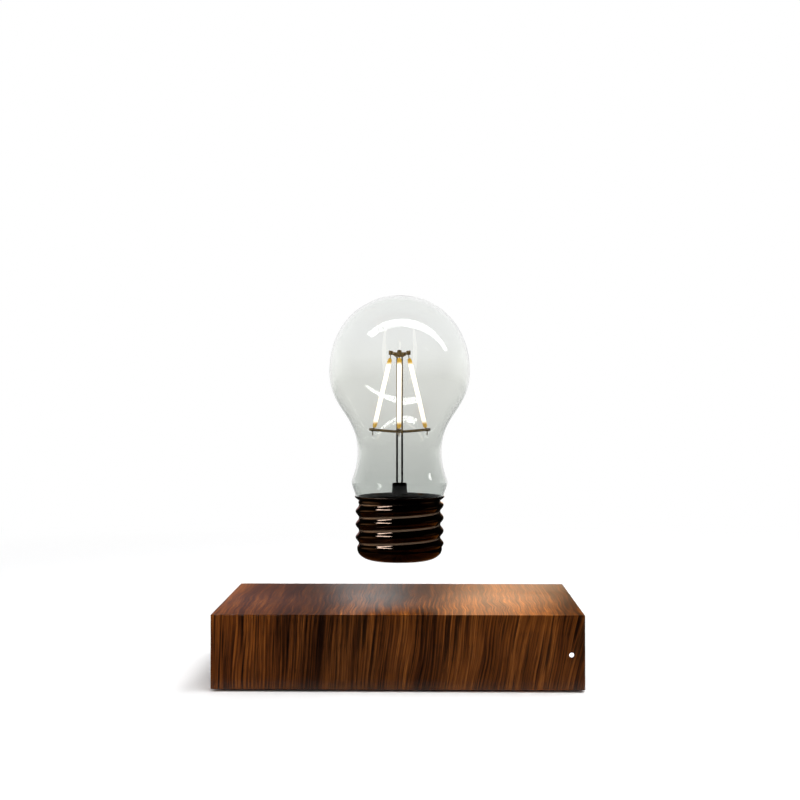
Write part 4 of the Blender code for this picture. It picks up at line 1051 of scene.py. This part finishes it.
pin_ball = arc((0, -PIN_SETBACK - PIN_RADIUS), PIN_RADIUS, 90, 0, rows=6)
pin = [(0, -PIN_SETBACK), *pin_ball, (PIN_RADIUS, -BORE_DEPTH), (0, -BORE_DEPTH)]
lining = [
    (BORE_RADIUS - TINY, -PIN_SETBACK),
    (BORE_RADIUS - TINY, -BORE_DEPTH),
    (BORE_RADIUS - LINING, -BORE_DEPTH),
    (BORE_RADIUS - LINING, -PIN_SETBACK),
]
for name, outline, steps, ring in (
    ("socket_pin", pin, 32, False),
    ("socket_lining", lining, 64, True),
):
    piece = turned(outline, steps, ring)
    piece.rotation_euler = (-math.pi / 2, 0, 0)
    piece.location = (socket_middle.x, mouth, socket_middle.z)
    settle(piece, name, "base", nickel)

# %% Indicator light
LENS_DOME = 0.25 * MM
LENS_GRAIN = 0.3 * MM
LENS_GLOW = (0.9, 1.1)
glowing = {
    "Base Color": linear("#f4f7ff"),
    "Emission Color": linear("#f4f8ff"),
    "Roughness": 0.25,
    "IOR": 1.49,
}
lens_white, tree, shader = new_finish("lit_white_lens", glowing)
where = add_node(tree, "TexCoord").outputs["Object"]
cloud = add_node(tree, "TexNoise", {"Vector": where, "Scale": 1 / LENS_GRAIN})
glow = add_node(tree, "MapRange", from_to(cloud, 0.0, 1.0, *LENS_GLOW))
feed(shader, {"Emission Strength": glow})
lens_length = light_high.y - light_low.y
collar = COLLAR_SEAT - COLLAR_FRONT
dome_ball = (LENS_RADIUS**2 + LENS_DOME**2) / (2 * LENS_DOME)
dome_angle = math.degrees(math.asin(LENS_RADIUS / dome_ball))
outline = arc((0, -dome_ball), dome_ball, 90, 90 - dome_angle, rows=5)
outline += [(LENS_RADIUS, collar), (COLLAR_RADIUS, collar)]
outline += [(COLLAR_RADIUS, -lens_length), (0, -lens_length)]
lens = turned(outline, steps=32)
lens.rotation_euler = (math.pi / 2, 0, 0)
lens.location = (light_middle.x, light_low.y, light_middle.z)
settle(lens, "light_lens", "base", lens_white, ["indicator_light"])

# %% [markdown]
# ## Black bronze
#
# The cap is moulded plastic under a dark mirror coat, so that the power can pass
# through it. The coat reflects like a metal, but so little that it looks black, and a
# bright lamp comes back in it coppery. Its gloss is broken by a very fine orange peel.
# In the roots of the thread a fine line is painted paler brown and less metallic, a
# painted reflection of the bright ceiling, found by its distance from the axis.

# %% Sizes of the cap
LIP_RADIUS = cap_high.x
CAP_RADIUS = 19.06 * MM
THREAD_DEPTH = 1.46 * MM
THREAD_PITCH = 5.6 * MM
THREAD_START = 5.3 * MM
THREAD_RUN_IN = 1.4 * MM
THREAD_RUN_OUT = 2.6 * MM
FRONT_TURN = 0.25  # from the front, where the first crest starts, to +X
CAP_CORNER = 5 * MM
CORNER_REACH = 8.5 * MM
CAP_WALL = 1 * MM
CAP_FLOOR = 1.2 * MM
LIP_WALL = 0.4 * MM
LIP_SEAT = 0.6 * MM
LIP_HEIGHT = 0.5 * MM
NECK_DROP = 2.0 * MM
CAP_STEPS = 160
ROWS_A_TURN = 20
cap_top = cap_high.z
cap_bottom = cap_low.z
cap_mean = CAP_RADIUS - THREAD_DEPTH / 2
cap_root = CAP_RADIUS - THREAD_DEPTH
cap_bore = cap_root - CAP_WALL
lip_bore = LIP_RADIUS - LIP_WALL
neck = cap_top - NECK_DROP
corner_top = cap_bottom + CAP_CORNER
print("cap", round((cap_top - cap_bottom) / MM, 1), "mm tall")

# %% Cap finish
PEEL_SIZE = 1.6 * MM
PEEL_DEPTH = 0.004 * MM
ROOT_RISE = 0.12 * MM
ROOT_GLINT_METALLIC = 0.15
COAT_ROUGHNESS = (0.07, 0.13)
black_bronze, tree, shader = new_finish("black_bronze_coat", {"Roughness": 0.1, "Metallic": 1.0})
where = add_node(tree, "TexCoord").outputs["Object"]
peel = add_node(tree, "TexNoise", {"Vector": where, "Scale": 1 / PEEL_SIZE, "Detail": 2.0})
tones = add_node(tree, "ValToRGB", {0: peel}, [(0.35, "#28211d"), (0.65, "#312a25")])
level = add_node(tree, "VectorMath", {0: where, 1: (1, 1, 0)}, operation="MULTIPLY")
from_axis = add_node(tree, "VectorMath", {0: level}, operation="LENGTH").outputs["Value"]
height = add_node(tree, "SeparateXYZ", {0: where}).outputs["Z"]
# Painted reflection: a paler brown, less metallic line along the roots of the thread
in_root = from_to(from_axis, cap_root + ROOT_RISE / 3, cap_root + ROOT_RISE, 1.0, 0.0)
under_neck = from_to(height, neck - THREAD_RUN_IN / 2, neck - THREAD_RUN_IN)
over_corner = from_to(height, corner_top + THREAD_RUN_OUT / 2, corner_top + THREAD_RUN_OUT)
painted_root_glint = add_node(tree, "MapRange", in_root)
for limit in (under_neck, over_corner):
    shown = add_node(tree, "MapRange", limit)
    painted_root_glint = add_node(tree, "Math", {0: painted_root_glint, 1: shown}, operation="MULTIPLY")
coat = {0: painted_root_glint, 6: tones, 7: linear("#5c4c3e")}
coat = add_node(tree, "Mix", coat, data_type="RGBA").outputs[2]
metal = add_node(tree, "MapRange", from_to(painted_root_glint, 0.0, 1.0, 1.0, ROOT_GLINT_METALLIC))
gloss = add_node(tree, "MapRange", from_to(peel, 0.0, 1.0, *COAT_ROUGHNESS))
bump = add_node(tree, "Bump", {"Strength": 0.3, "Distance": PEEL_DEPTH, "Height": peel})
feed(shader, {"Base Color": coat, "Metallic": metal, "Roughness": gloss, "Normal": bump})
print("black bronze coat with an orange peel of", PEEL_SIZE / MM, "mm")

# %% [markdown]
# ## The threaded cap
#
# The cap is a cup with a rolled thread: the wall itself waves in and out, and the wave
# climbs by one pitch each turn. Extruding a profile along a helix would leave a seam at
# both ends, so the cup is turned on the lathe with many rows, and each point of its
# outer wall is then moved in or out by a cosine of its height and its angle. The wave fades
# in under the rim and out above the rounded bottom, as a rolling tool leaves it.

# %% The thread's shape
def smooth_step(value, start, end):
    """Rises from 0 at start to 1 at end, with level ends."""
    share = min(max((value - start) / (end - start), 0.0), 1.0)
    return share * share * (3 - 2 * share)


def wall_radius(z):
    """The outer wall without its thread: narrow at the neck, full below it."""
    return cap_root + (cap_mean - cap_root) * smooth_step(z, neck, neck - THREAD_RUN_IN)


def thread_rise(z, angle):
    """How far the thread stands out at a height and an angle about the axis."""
    fade_in = smooth_step(z, neck, neck - THREAD_RUN_IN)
    fade_out = smooth_step(z, corner_top, corner_top + THREAD_RUN_OUT)
    crest = cap_top - THREAD_START + THREAD_PITCH * (angle / (2 * math.pi) + FRONT_TURN)
    wave = math.cos(2 * math.pi * (z - crest) / THREAD_PITCH)
    return THREAD_DEPTH / 2 * wave * fade_in * fade_out


print("a thread", THREAD_DEPTH / MM, "mm deep, with a pitch of", THREAD_PITCH / MM, "mm")

# %% Threaded cap
inner_corner = CAP_CORNER - CAP_WALL
floor_top = cap_bottom + CAP_FLOOR
outline = [(0, floor_top)]
outline += arc((cap_bore - inner_corner, floor_top + inner_corner), inner_corner, -90, 0, rows=8)
outline += [(cap_bore, cap_top - LIP_SEAT), (lip_bore, cap_top - LIP_SEAT)]
lip_middle = LIP_RADIUS - LIP_WALL / 2
outline += arc((lip_middle, cap_top - LIP_WALL / 2), LIP_WALL / 2, 180, 0, rows=8)
outline += arc((lip_middle, cap_top - LIP_HEIGHT), LIP_WALL / 2, 0, -60, rows=3)
rows = math.ceil((neck - corner_top) / THREAD_PITCH * ROWS_A_TURN)
for row in range(rows + 1):
    z = neck + (corner_top - neck) * row / rows
    outline.append((wall_radius(z), z))
for across, down in arc((0, 0), 1, 0, -90, rows=16)[1:]:
    outline.append((cap_mean - CORNER_REACH * (1 - across), corner_top + CAP_CORNER * down))
outline += [(0, cap_bottom)]
cap = turned(outline, CAP_STEPS)
outside = cap_root - CAP_WALL / 2
for point in cap.data.vertices:
    x, y, z = point.co
    radius = math.hypot(x, y)
    if radius > outside and z < neck:
        stretch = 1 + thread_rise(z, math.atan2(y, x)) / radius
        point.co = (x * stretch, y * stretch, z)
settle(cap, "threaded_cap", "bulb", black_bronze, ["screw_cap"])

# %% [markdown]
# ## Clear glass
#
# Soda-lime glass bends light by about 1.5 and hides nothing, but a wall that is seen
# edge on is long to look through, and its faint grey-green then shows. A volume that
# absorbs a little gives just that. The glass's colour is painted greyer towards the
# neck, a painted shade for the dark cap that the lower globe reflects, read from the height.

# %% Glass finish
GLASS_ABSORPTION = 30.0
RIPPLE_SIZE = 14 * MM
RIPPLE_DEPTH = 0.2 * MM
CROWN_HEIGHT = 0.146
NECK_HEIGHT = 0.076
clear = {"Transmission Weight": 1.0, "Roughness": 0.0, "IOR": 1.5}
clear_glass, tree, shader = new_finish("clear_soda_lime_glass", clear)
where = add_node(tree, "TexCoord").outputs["Object"]
height = add_node(tree, "SeparateXYZ", {0: where}).outputs["Z"]
# Painted shade: the glass's colour darkens from the crown down to the neck
neck_shade_stops = [
    (0.0, "#dcdfdc"),
    (0.25, "#e4e6e3"),
    (0.5, "#eeefec"),
    (0.72, "#f4f5f2"),
    (0.85, "#fcfdfb"),
    (1.0, "#fdfefd"),
]
share = add_node(tree, "MapRange", from_to(height, NECK_HEIGHT, CROWN_HEIGHT))
painted_neck_shade = add_node(tree, "ValToRGB", {0: share}, neck_shade_stops)
edge_on = {"Color": linear("#a8aba6"), "Density": GLASS_ABSORPTION}
tint = add_node(tree, "VolumeAbsorption", edge_on)
feed(tree.nodes["Material Output"], {"Volume": tint})
ripple = add_node(tree, "TexNoise", {"Vector": where, "Scale": 1 / RIPPLE_SIZE, "Detail": 1.0})
bump = add_node(tree, "Bump", {"Strength": 0.12, "Distance": RIPPLE_DEPTH, "Height": ripple})
feed(shader, {"Base Color": painted_neck_shade, "Normal": bump})
print("clear glass that absorbs", GLASS_ABSORPTION, "per metre")

# %% [markdown]
# ## The blown globe
#
# A blown bulb is smooth all along, with no straight line in its outline. Five knots
# joined by Bezier curves give it: the crown, the widest point, the waist, the soft
# swelling over the cap, and the end that stands in the cap. A knot is a radius, a height
# and the reach of its handles above and below, all as shares of the globe's own radius
# and height. The outline is turned, and Solidify gives the wall inwards.

# %% Glass globe
GLASS_WALL = 0.8 * MM
CROWN_HANDLE_SHARE = 0.60
GLASS_KNOT_SHARES = (
    (0.000, 1.000, 0.000, 0.000),
    (1.000, 0.622, 0.208, 0.192),
    (0.597, 0.219, 0.192, 0.088),
    (0.679, 0.069, 0.024, 0.022),
    (0.630, 0.0055, 0.013, 0.000),
)
GLASS_ROWS = (28, 28, 12, 10)
glass_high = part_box("glass_globe")[1]
glass_radius = glass_high.x
glass_height = glass_high.z - cap_top
knots = []
for radius, height, above, below in GLASS_KNOT_SHARES:
    point = Vector((radius * glass_radius, 0, cap_top + height * glass_height))
    rise = Vector((0, 0, above * glass_height))
    drop = Vector((0, 0, -below * glass_height))
    if radius == 0:
        drop = Vector((CROWN_HANDLE_SHARE * glass_radius, 0, 0))
    knots.append((point, rise, drop))
points = [knots[0][0]]
for (start, _, leave), (end, arrive, _), rows in zip(knots, knots[1:], GLASS_ROWS):
    points += interpolate_bezier(start, start + leave, end + arrive, end, rows + 1)[1:]
outline = [(point.x, point.z) for point in points]
outline.append((outline[-1][0], cap_top - LIP_SEAT + GAP))
globe = turned(outline, steps=160)
apply_modifier(globe, "SOLIDIFY", thickness=GLASS_WALL, offset=-1, use_even_offset=True)
settle(globe, "blown_globe", "bulb", clear_glass, ["glass_globe"])

# %% [markdown]
# ## Plate and stem
#
# Through the neck one sees the black plate that closes the cap, and on it the short
# black bush in which the two leads stand.

# %% Mount plate and stem
SLEEVE_RADIUS = 0.43 * MM
PLATE_FLANGE = 0.7 * MM
PLATE_EDGE = 0.2 * MM
STEM_ROUND = 0.7 * MM
STEM_FLARE = 0.3 * MM
STEM_FLARE_HEIGHT = 2 * MM
plate_low, plate_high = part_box("mount_plate")
stem_low, stem_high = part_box("stem_block")
lead_places = {}
for side in ("left", "right"):
    lead_low, lead_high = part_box(f"lead_post_{side}")
    lead_places[side] = (lead_low.x + lead_high.x) / 2
lead_foot = lead_low.z
holder_radius = cap_bore - GAP
plate_radius = plate_high.x
flange_low = plate_high.z - PLATE_FLANGE
outline = [(0, plate_high.z)]
outline += arc((plate_radius - PLATE_EDGE, plate_high.z - PLATE_EDGE), PLATE_EDGE, 90, 0, rows=4)
outline += [(plate_radius, flange_low), (holder_radius, flange_low), (holder_radius, plate_low.z)]
outline += [(0, plate_low.z)]
plate = turned(outline, steps=128)
stem_radius = stem_high.x - STEM_FLARE
outline = [(0, stem_high.z)]
outline += arc((stem_radius - STEM_ROUND, stem_high.z - STEM_ROUND), STEM_ROUND, 90, 0, rows=6)
outline += [(stem_radius, stem_low.z + STEM_FLARE_HEIGHT)]
outline += [(stem_high.x, stem_low.z), (0, stem_low.z)]
stem = turned(outline, steps=96)
for x in lead_places.values():
    for piece in (plate, stem):
        foot, head = (x, 0, plate_low.z - PAST), (x, 0, stem_high.z + PAST)
        carve(piece, cylinder(SLEEVE_RADIUS + FINE_GAP, foot, head))
settle(plate, "neck_plate", "bulb", matte_black, ["mount_plate"])
settle(stem, "stem_bush", "bulb", matte_black, ["stem_block"])

# %% [markdown]
# ## Wire finishes
#
# The leads are bronze-coloured nickel iron, dulled by the heat of the sealing flame,
# and their lower half wears a black sleeve. The two spiders are stamped from a sheet of
# the same metal, so one mottled finish serves both.

# %% Wire finishes
SLEEVE_GRAIN = 0.4 * MM
SLEEVE_END = 1.8 * MM
BARE_METALLIC = 0.3
WARM_METAL = {"Metallic": 0.25}
bronze_wire = ("oxidised_bronze_wire", "#5c4824", "#a48a58", 0.6 * MM, 0.05 * MM, 0.45, WARM_METAL)
bronze = mottled(*bronze_wire)
lower_spider_low, lower_spider_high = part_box("lower_spider")
shoulder = lower_spider_low.z + SLEEVE_END
sleeve, tree, shader = new_finish("black_sleeved_lead", {"Roughness": 0.4})
where = add_node(tree, "TexCoord").outputs["Object"]
height = add_node(tree, "SeparateXYZ", {0: where}).outputs["Z"]
bare = add_node(tree, "MapRange", from_to(height, shoulder - TINY, shoulder + TINY))
speckle = add_node(tree, "TexNoise", {"Vector": where, "Scale": 1 / SLEEVE_GRAIN})
black = add_node(tree, "ValToRGB", {0: speckle}, [(0.3, "#0a0b0a"), (0.7, "#151614")])
brown = add_node(tree, "ValToRGB", {0: speckle}, [(0.3, "#6b5630"), (0.7, "#9a8150")])
coat = add_node(tree, "Mix", {0: bare, 6: black, 7: brown}, data_type="RGBA").outputs[2]
metal = add_node(tree, "MapRange", from_to(bare, 0.0, 1.0, 0.0, BARE_METALLIC))
feed(shader, {"Base Color": coat, "Metallic": metal})
print("bare wire above", round(shoulder / MM, 1), "mm")

# %% [markdown]
# ## Leads and spiders
#
# Each lead is turned: thick in its sleeve up to the lower spider, thin above it. The
# wide lower spider rests on both sleeves and holds the filaments' feet, the small upper
# one sits on the leads' ends. A spider is a hub and one arm that is modelled once and
# copied to the three sides. The arms of the upper one bend up at their ends.

# %% Leads
WIRE_RADIUS = 0.33 * MM
ARM_THICKNESS = 1.2 * MM
LOWER_CLAMP_RISE = 0.6 * MM
UPPER_TIP_RISE = 0.7 * MM
UPPER_HUB_DROP = 1.2 * MM
LOWER_HUB_DROP = 0.7 * MM
half_arm = ARM_THICKNESS / 2
lower_z = lower_spider_high.z - LOWER_CLAMP_RISE
upper_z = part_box("upper_spider")[1].z - UPPER_TIP_RISE - half_arm
lower_hub_z = lower_z - LOWER_HUB_DROP
lead_top = upper_z - UPPER_HUB_DROP - half_arm
sleeve_top = lower_hub_z - half_arm
outline = [(0, lead_top), (WIRE_RADIUS, lead_top), (WIRE_RADIUS, sleeve_top)]
outline += arc((SLEEVE_RADIUS - 2 * TINY, sleeve_top - 2 * TINY), 2 * TINY, 90, 0, rows=3)
outline += [(SLEEVE_RADIUS, lead_foot), (0, lead_foot)]
pattern_lead = turned(outline, steps=24)
for side, x in lead_places.items():
    lead = copy_at(pattern_lead, (x, 0, 0))
    settle(lead, f"lead_{side}", "bulb", sleeve, [f"lead_post_{side}"])
bpy.data.objects.remove(pattern_lead)

# %% Arms and hubs
FILAMENT_ANGLES = {"front": -90, "right": 30, "left": 150}
HUB_RADIUS = 2.1 * MM
ARM_WIDTH = 1.25 * MM
ARM_EDGE = 0.3 * MM
CLAMP_RADIUS = 0.95 * MM
TAIL_RADIUS = 0.22 * MM
WELD_RADIUS = 0.2 * MM


def polar(angle, reach, height):
    """A point at an angle in degrees about the axis."""
    turn = math.radians(angle)
    return Vector((reach * math.cos(turn), reach * math.sin(turn), height))


def bent_arm(path):
    """A flat bar along (reach, height) points, on the +X side, extruded step by step."""
    (start, z), (end, _) = path[:2]
    low = (start, -ARM_WIDTH / 2, z - half_arm)
    arm = block(low, (end, ARM_WIDTH / 2, z + half_arm))
    bpy.ops.object.mode_set(mode="EDIT")
    pick("FACE", lambda face, middle: face.normal.x > FACING)
    for near, far in zip(path[1:], path[2:]):
        move = (far[0] - near[0], 0, far[1] - near[1])
        bpy.ops.mesh.extrude_region_move(TRANSFORM_OT_translate={"value": move})
    bpy.ops.object.mode_set(mode="OBJECT")
    apply_modifier(arm, "BEVEL", width=ARM_EDGE, segments=3, limit_method="ANGLE")
    return arm


def spider(hub, path, clamp_reach, clamp_z, clamp_rise, tail, weld_end):
    """Joins three like arms to a hub, each with a clamp, a tail and a welded lead."""
    apply_modifier(hub, "BEVEL", width=ARM_EDGE, segments=3, limit_method="ANGLE")
    pattern_arm = bent_arm(path)
    for angle in FILAMENT_ANGLES.values():
        arm = copy_at(pattern_arm, (0, 0, 0))
        arm.rotation_euler = (0, 0, math.radians(angle))
        carve(hub, arm, "UNION")
        foot = polar(angle, clamp_reach, clamp_z - half_arm - FINE_GAP)
        head = polar(angle, clamp_reach, clamp_z + clamp_rise)
        clamp = cylinder(CLAMP_RADIUS, foot, head, steps=24)
        apply_modifier(clamp, "BEVEL", width=ARM_EDGE / 2, segments=2, limit_method="ANGLE")
        carve(hub, clamp, "UNION")
        if tail:
            tail_ends = foot - Vector((0, 0, tail)), head - Vector((0, 0, TINY))
            carve(hub, cylinder(TAIL_RADIUS, *tail_ends, steps=12), "UNION")
        weld_ends = polar(angle, clamp_reach, clamp_z), polar(angle, *weld_end)
        carve(hub, cylinder(WELD_RADIUS, *weld_ends, steps=12), "UNION")
    bpy.data.objects.remove(pattern_arm)
    return hub


print("an arm is", ARM_WIDTH / MM, "mm wide")

# %% Wide lower spider
FEET_CIRCLE = 13.05 * MM
FEET_RISE = 29.5 * MM
LOWER_CLAMP_REACH = 13.9 * MM
LOWER_REACH = 15.4 * MM
LOWER_BEND = HUB_RADIUS * 1.6
TAIL_LENGTH = 1.8 * MM
feet_z = cap_top + FEET_RISE
outline = [
    (0, lower_hub_z + half_arm),
    (HUB_RADIUS, lower_hub_z + half_arm),
    (HUB_RADIUS, lower_hub_z - half_arm),
    (0, lower_hub_z - half_arm),
]
path = [(HUB_RADIUS / 2, lower_hub_z), (LOWER_BEND, lower_hub_z), (LOWER_REACH, lower_z)]
clamp = (LOWER_CLAMP_REACH, lower_z, LOWER_CLAMP_RISE)
lower = spider(turned(outline, steps=48), path, *clamp, TAIL_LENGTH, (FEET_CIRCLE, feet_z))
settle(lower, "wide_spider", "bulb", bronze, ["lower_spider"])

# %% Small upper spider
HEADS_CIRCLE = 4.73 * MM
HEADS_RISE = 59.5 * MM
UPPER_CLAMP_REACH = 4.4 * MM
UPPER_REACH = 5.2 * MM
UPPER_CLAMP_RISE = 1.0 * MM
UPPER_ARM_DROP = 0.3 * MM
SAUCER_RADIUS = 3.1 * MM
SAUCER_FOOT = 1.7 * MM
SAUCER_MIDDLE_RISE = 0.1 * MM
SAUCER_RIM_RISE = 0.25 * MM
SAUCER_RIM_DROP = 0.2 * MM
heads_z = cap_top + HEADS_RISE
outline = [
    (0, upper_z + SAUCER_MIDDLE_RISE),
    (SAUCER_RADIUS, upper_z + SAUCER_RIM_RISE),
    (SAUCER_RADIUS, upper_z - half_arm - SAUCER_RIM_DROP),
    (SAUCER_FOOT, lead_top),
    (0, lead_top),
]
path = [
    (HUB_RADIUS / 2, upper_z - UPPER_ARM_DROP),
    (HUB_RADIUS, upper_z - UPPER_ARM_DROP),
    (UPPER_CLAMP_REACH, upper_z),
    (UPPER_REACH, upper_z + UPPER_TIP_RISE),
]
clamp = (UPPER_CLAMP_REACH, upper_z, UPPER_CLAMP_RISE)
upper = spider(turned(outline, steps=48), path, *clamp, 0, (HEADS_CIRCLE, heads_z))
settle(upper, "small_spider", "bulb", bronze, ["upper_spider"])

# %% [markdown]
# ## Lit filaments
#
# A filament is a thin strip of light chips in a rod of yellow silicone. Where there are
# chips it shines white, so brightly that its own colour is lost, and at both ends,
# past the last chip, the plain silicone shows amber. The rod leans, but all three
# stand between the same heights, so the amber ends are read from the height alone.

# %% Filament finish
AMBER_LENGTH = 2.3 * MM
AMBER_FADE = 0.3 * AMBER_LENGTH
AMBER_GLOW = 0.45
FILAMENT_GLOW = 1.3
SILICONE_GRAIN = 0.8 * MM
lit, tree, shader = new_finish("lit_phosphor_silicone", {"Roughness": 0.5, "IOR": 1.41})
where = add_node(tree, "TexCoord").outputs["Object"]
height = add_node(tree, "SeparateXYZ", {0: where}).outputs["Z"]
first_chip, last_chip = feet_z + AMBER_LENGTH, heads_z - AMBER_LENGTH
above_foot = from_to(height, first_chip - AMBER_FADE, first_chip + AMBER_FADE)
below_head = from_to(height, last_chip + AMBER_FADE, last_chip - AMBER_FADE)
shining = add_node(tree, "MapRange", above_foot)
dimmed = add_node(tree, "MapRange", below_head)
shining = add_node(tree, "Math", {0: shining, 1: dimmed}, operation="MULTIPLY")
cloud = add_node(tree, "TexNoise", {"Vector": where, "Scale": 1 / SILICONE_GRAIN})
amber = add_node(tree, "ValToRGB", {0: cloud}, [(0.3, "#c8982a"), (0.7, "#e2ba4c")])
body = {0: shining, 6: amber, 7: linear("#fff3d8")}
body = add_node(tree, "Mix", body, data_type="RGBA").outputs[2]
light = {0: shining, 6: linear("#e6b54a"), 7: linear("#fff8f0")}
light = add_node(tree, "Mix", light, data_type="RGBA").outputs[2]
power = add_node(tree, "MapRange", from_to(shining, 0.0, 1.0, AMBER_GLOW, FILAMENT_GLOW))
feed(shader, {"Base Color": body, "Emission Color": light, "Emission Strength": power})
print("filaments shine between", AMBER_LENGTH / MM, "mm of amber at each end")

# %% Filaments
FILAMENT_RADIUS = 0.95 * MM
TIP_RADIUS = 0.4 * MM
TAPER = 1.6 * MM
half = math.hypot(heads_z - feet_z, FEET_CIRCLE - HEADS_CIRCLE) / 2
outline = [(0, half)]
for across, along in arc((0, 0), 1, 90, 0, rows=6):
    radius = TIP_RADIUS + (FILAMENT_RADIUS - TIP_RADIUS) * across
    outline.append((radius, half - TAPER + TAPER * along))
outline += [(radius, -height) for radius, height in reversed(outline)]
pattern_rod = turned(outline, steps=32)
for side, angle in FILAMENT_ANGLES.items():
    low_end = polar(angle, FEET_CIRCLE, feet_z)
    high_end = polar(angle, HEADS_CIRCLE, heads_z)
    rod = copy_at(pattern_rod, (low_end + high_end) / 2)
    rod.rotation_euler = (high_end - low_end).to_track_quat("Z", "Y").to_euler()
    settle(rod, f"lit_rod_{side}", "bulb", lit, [f"filament_{side}"])
bpy.data.objects.remove(pattern_rod)
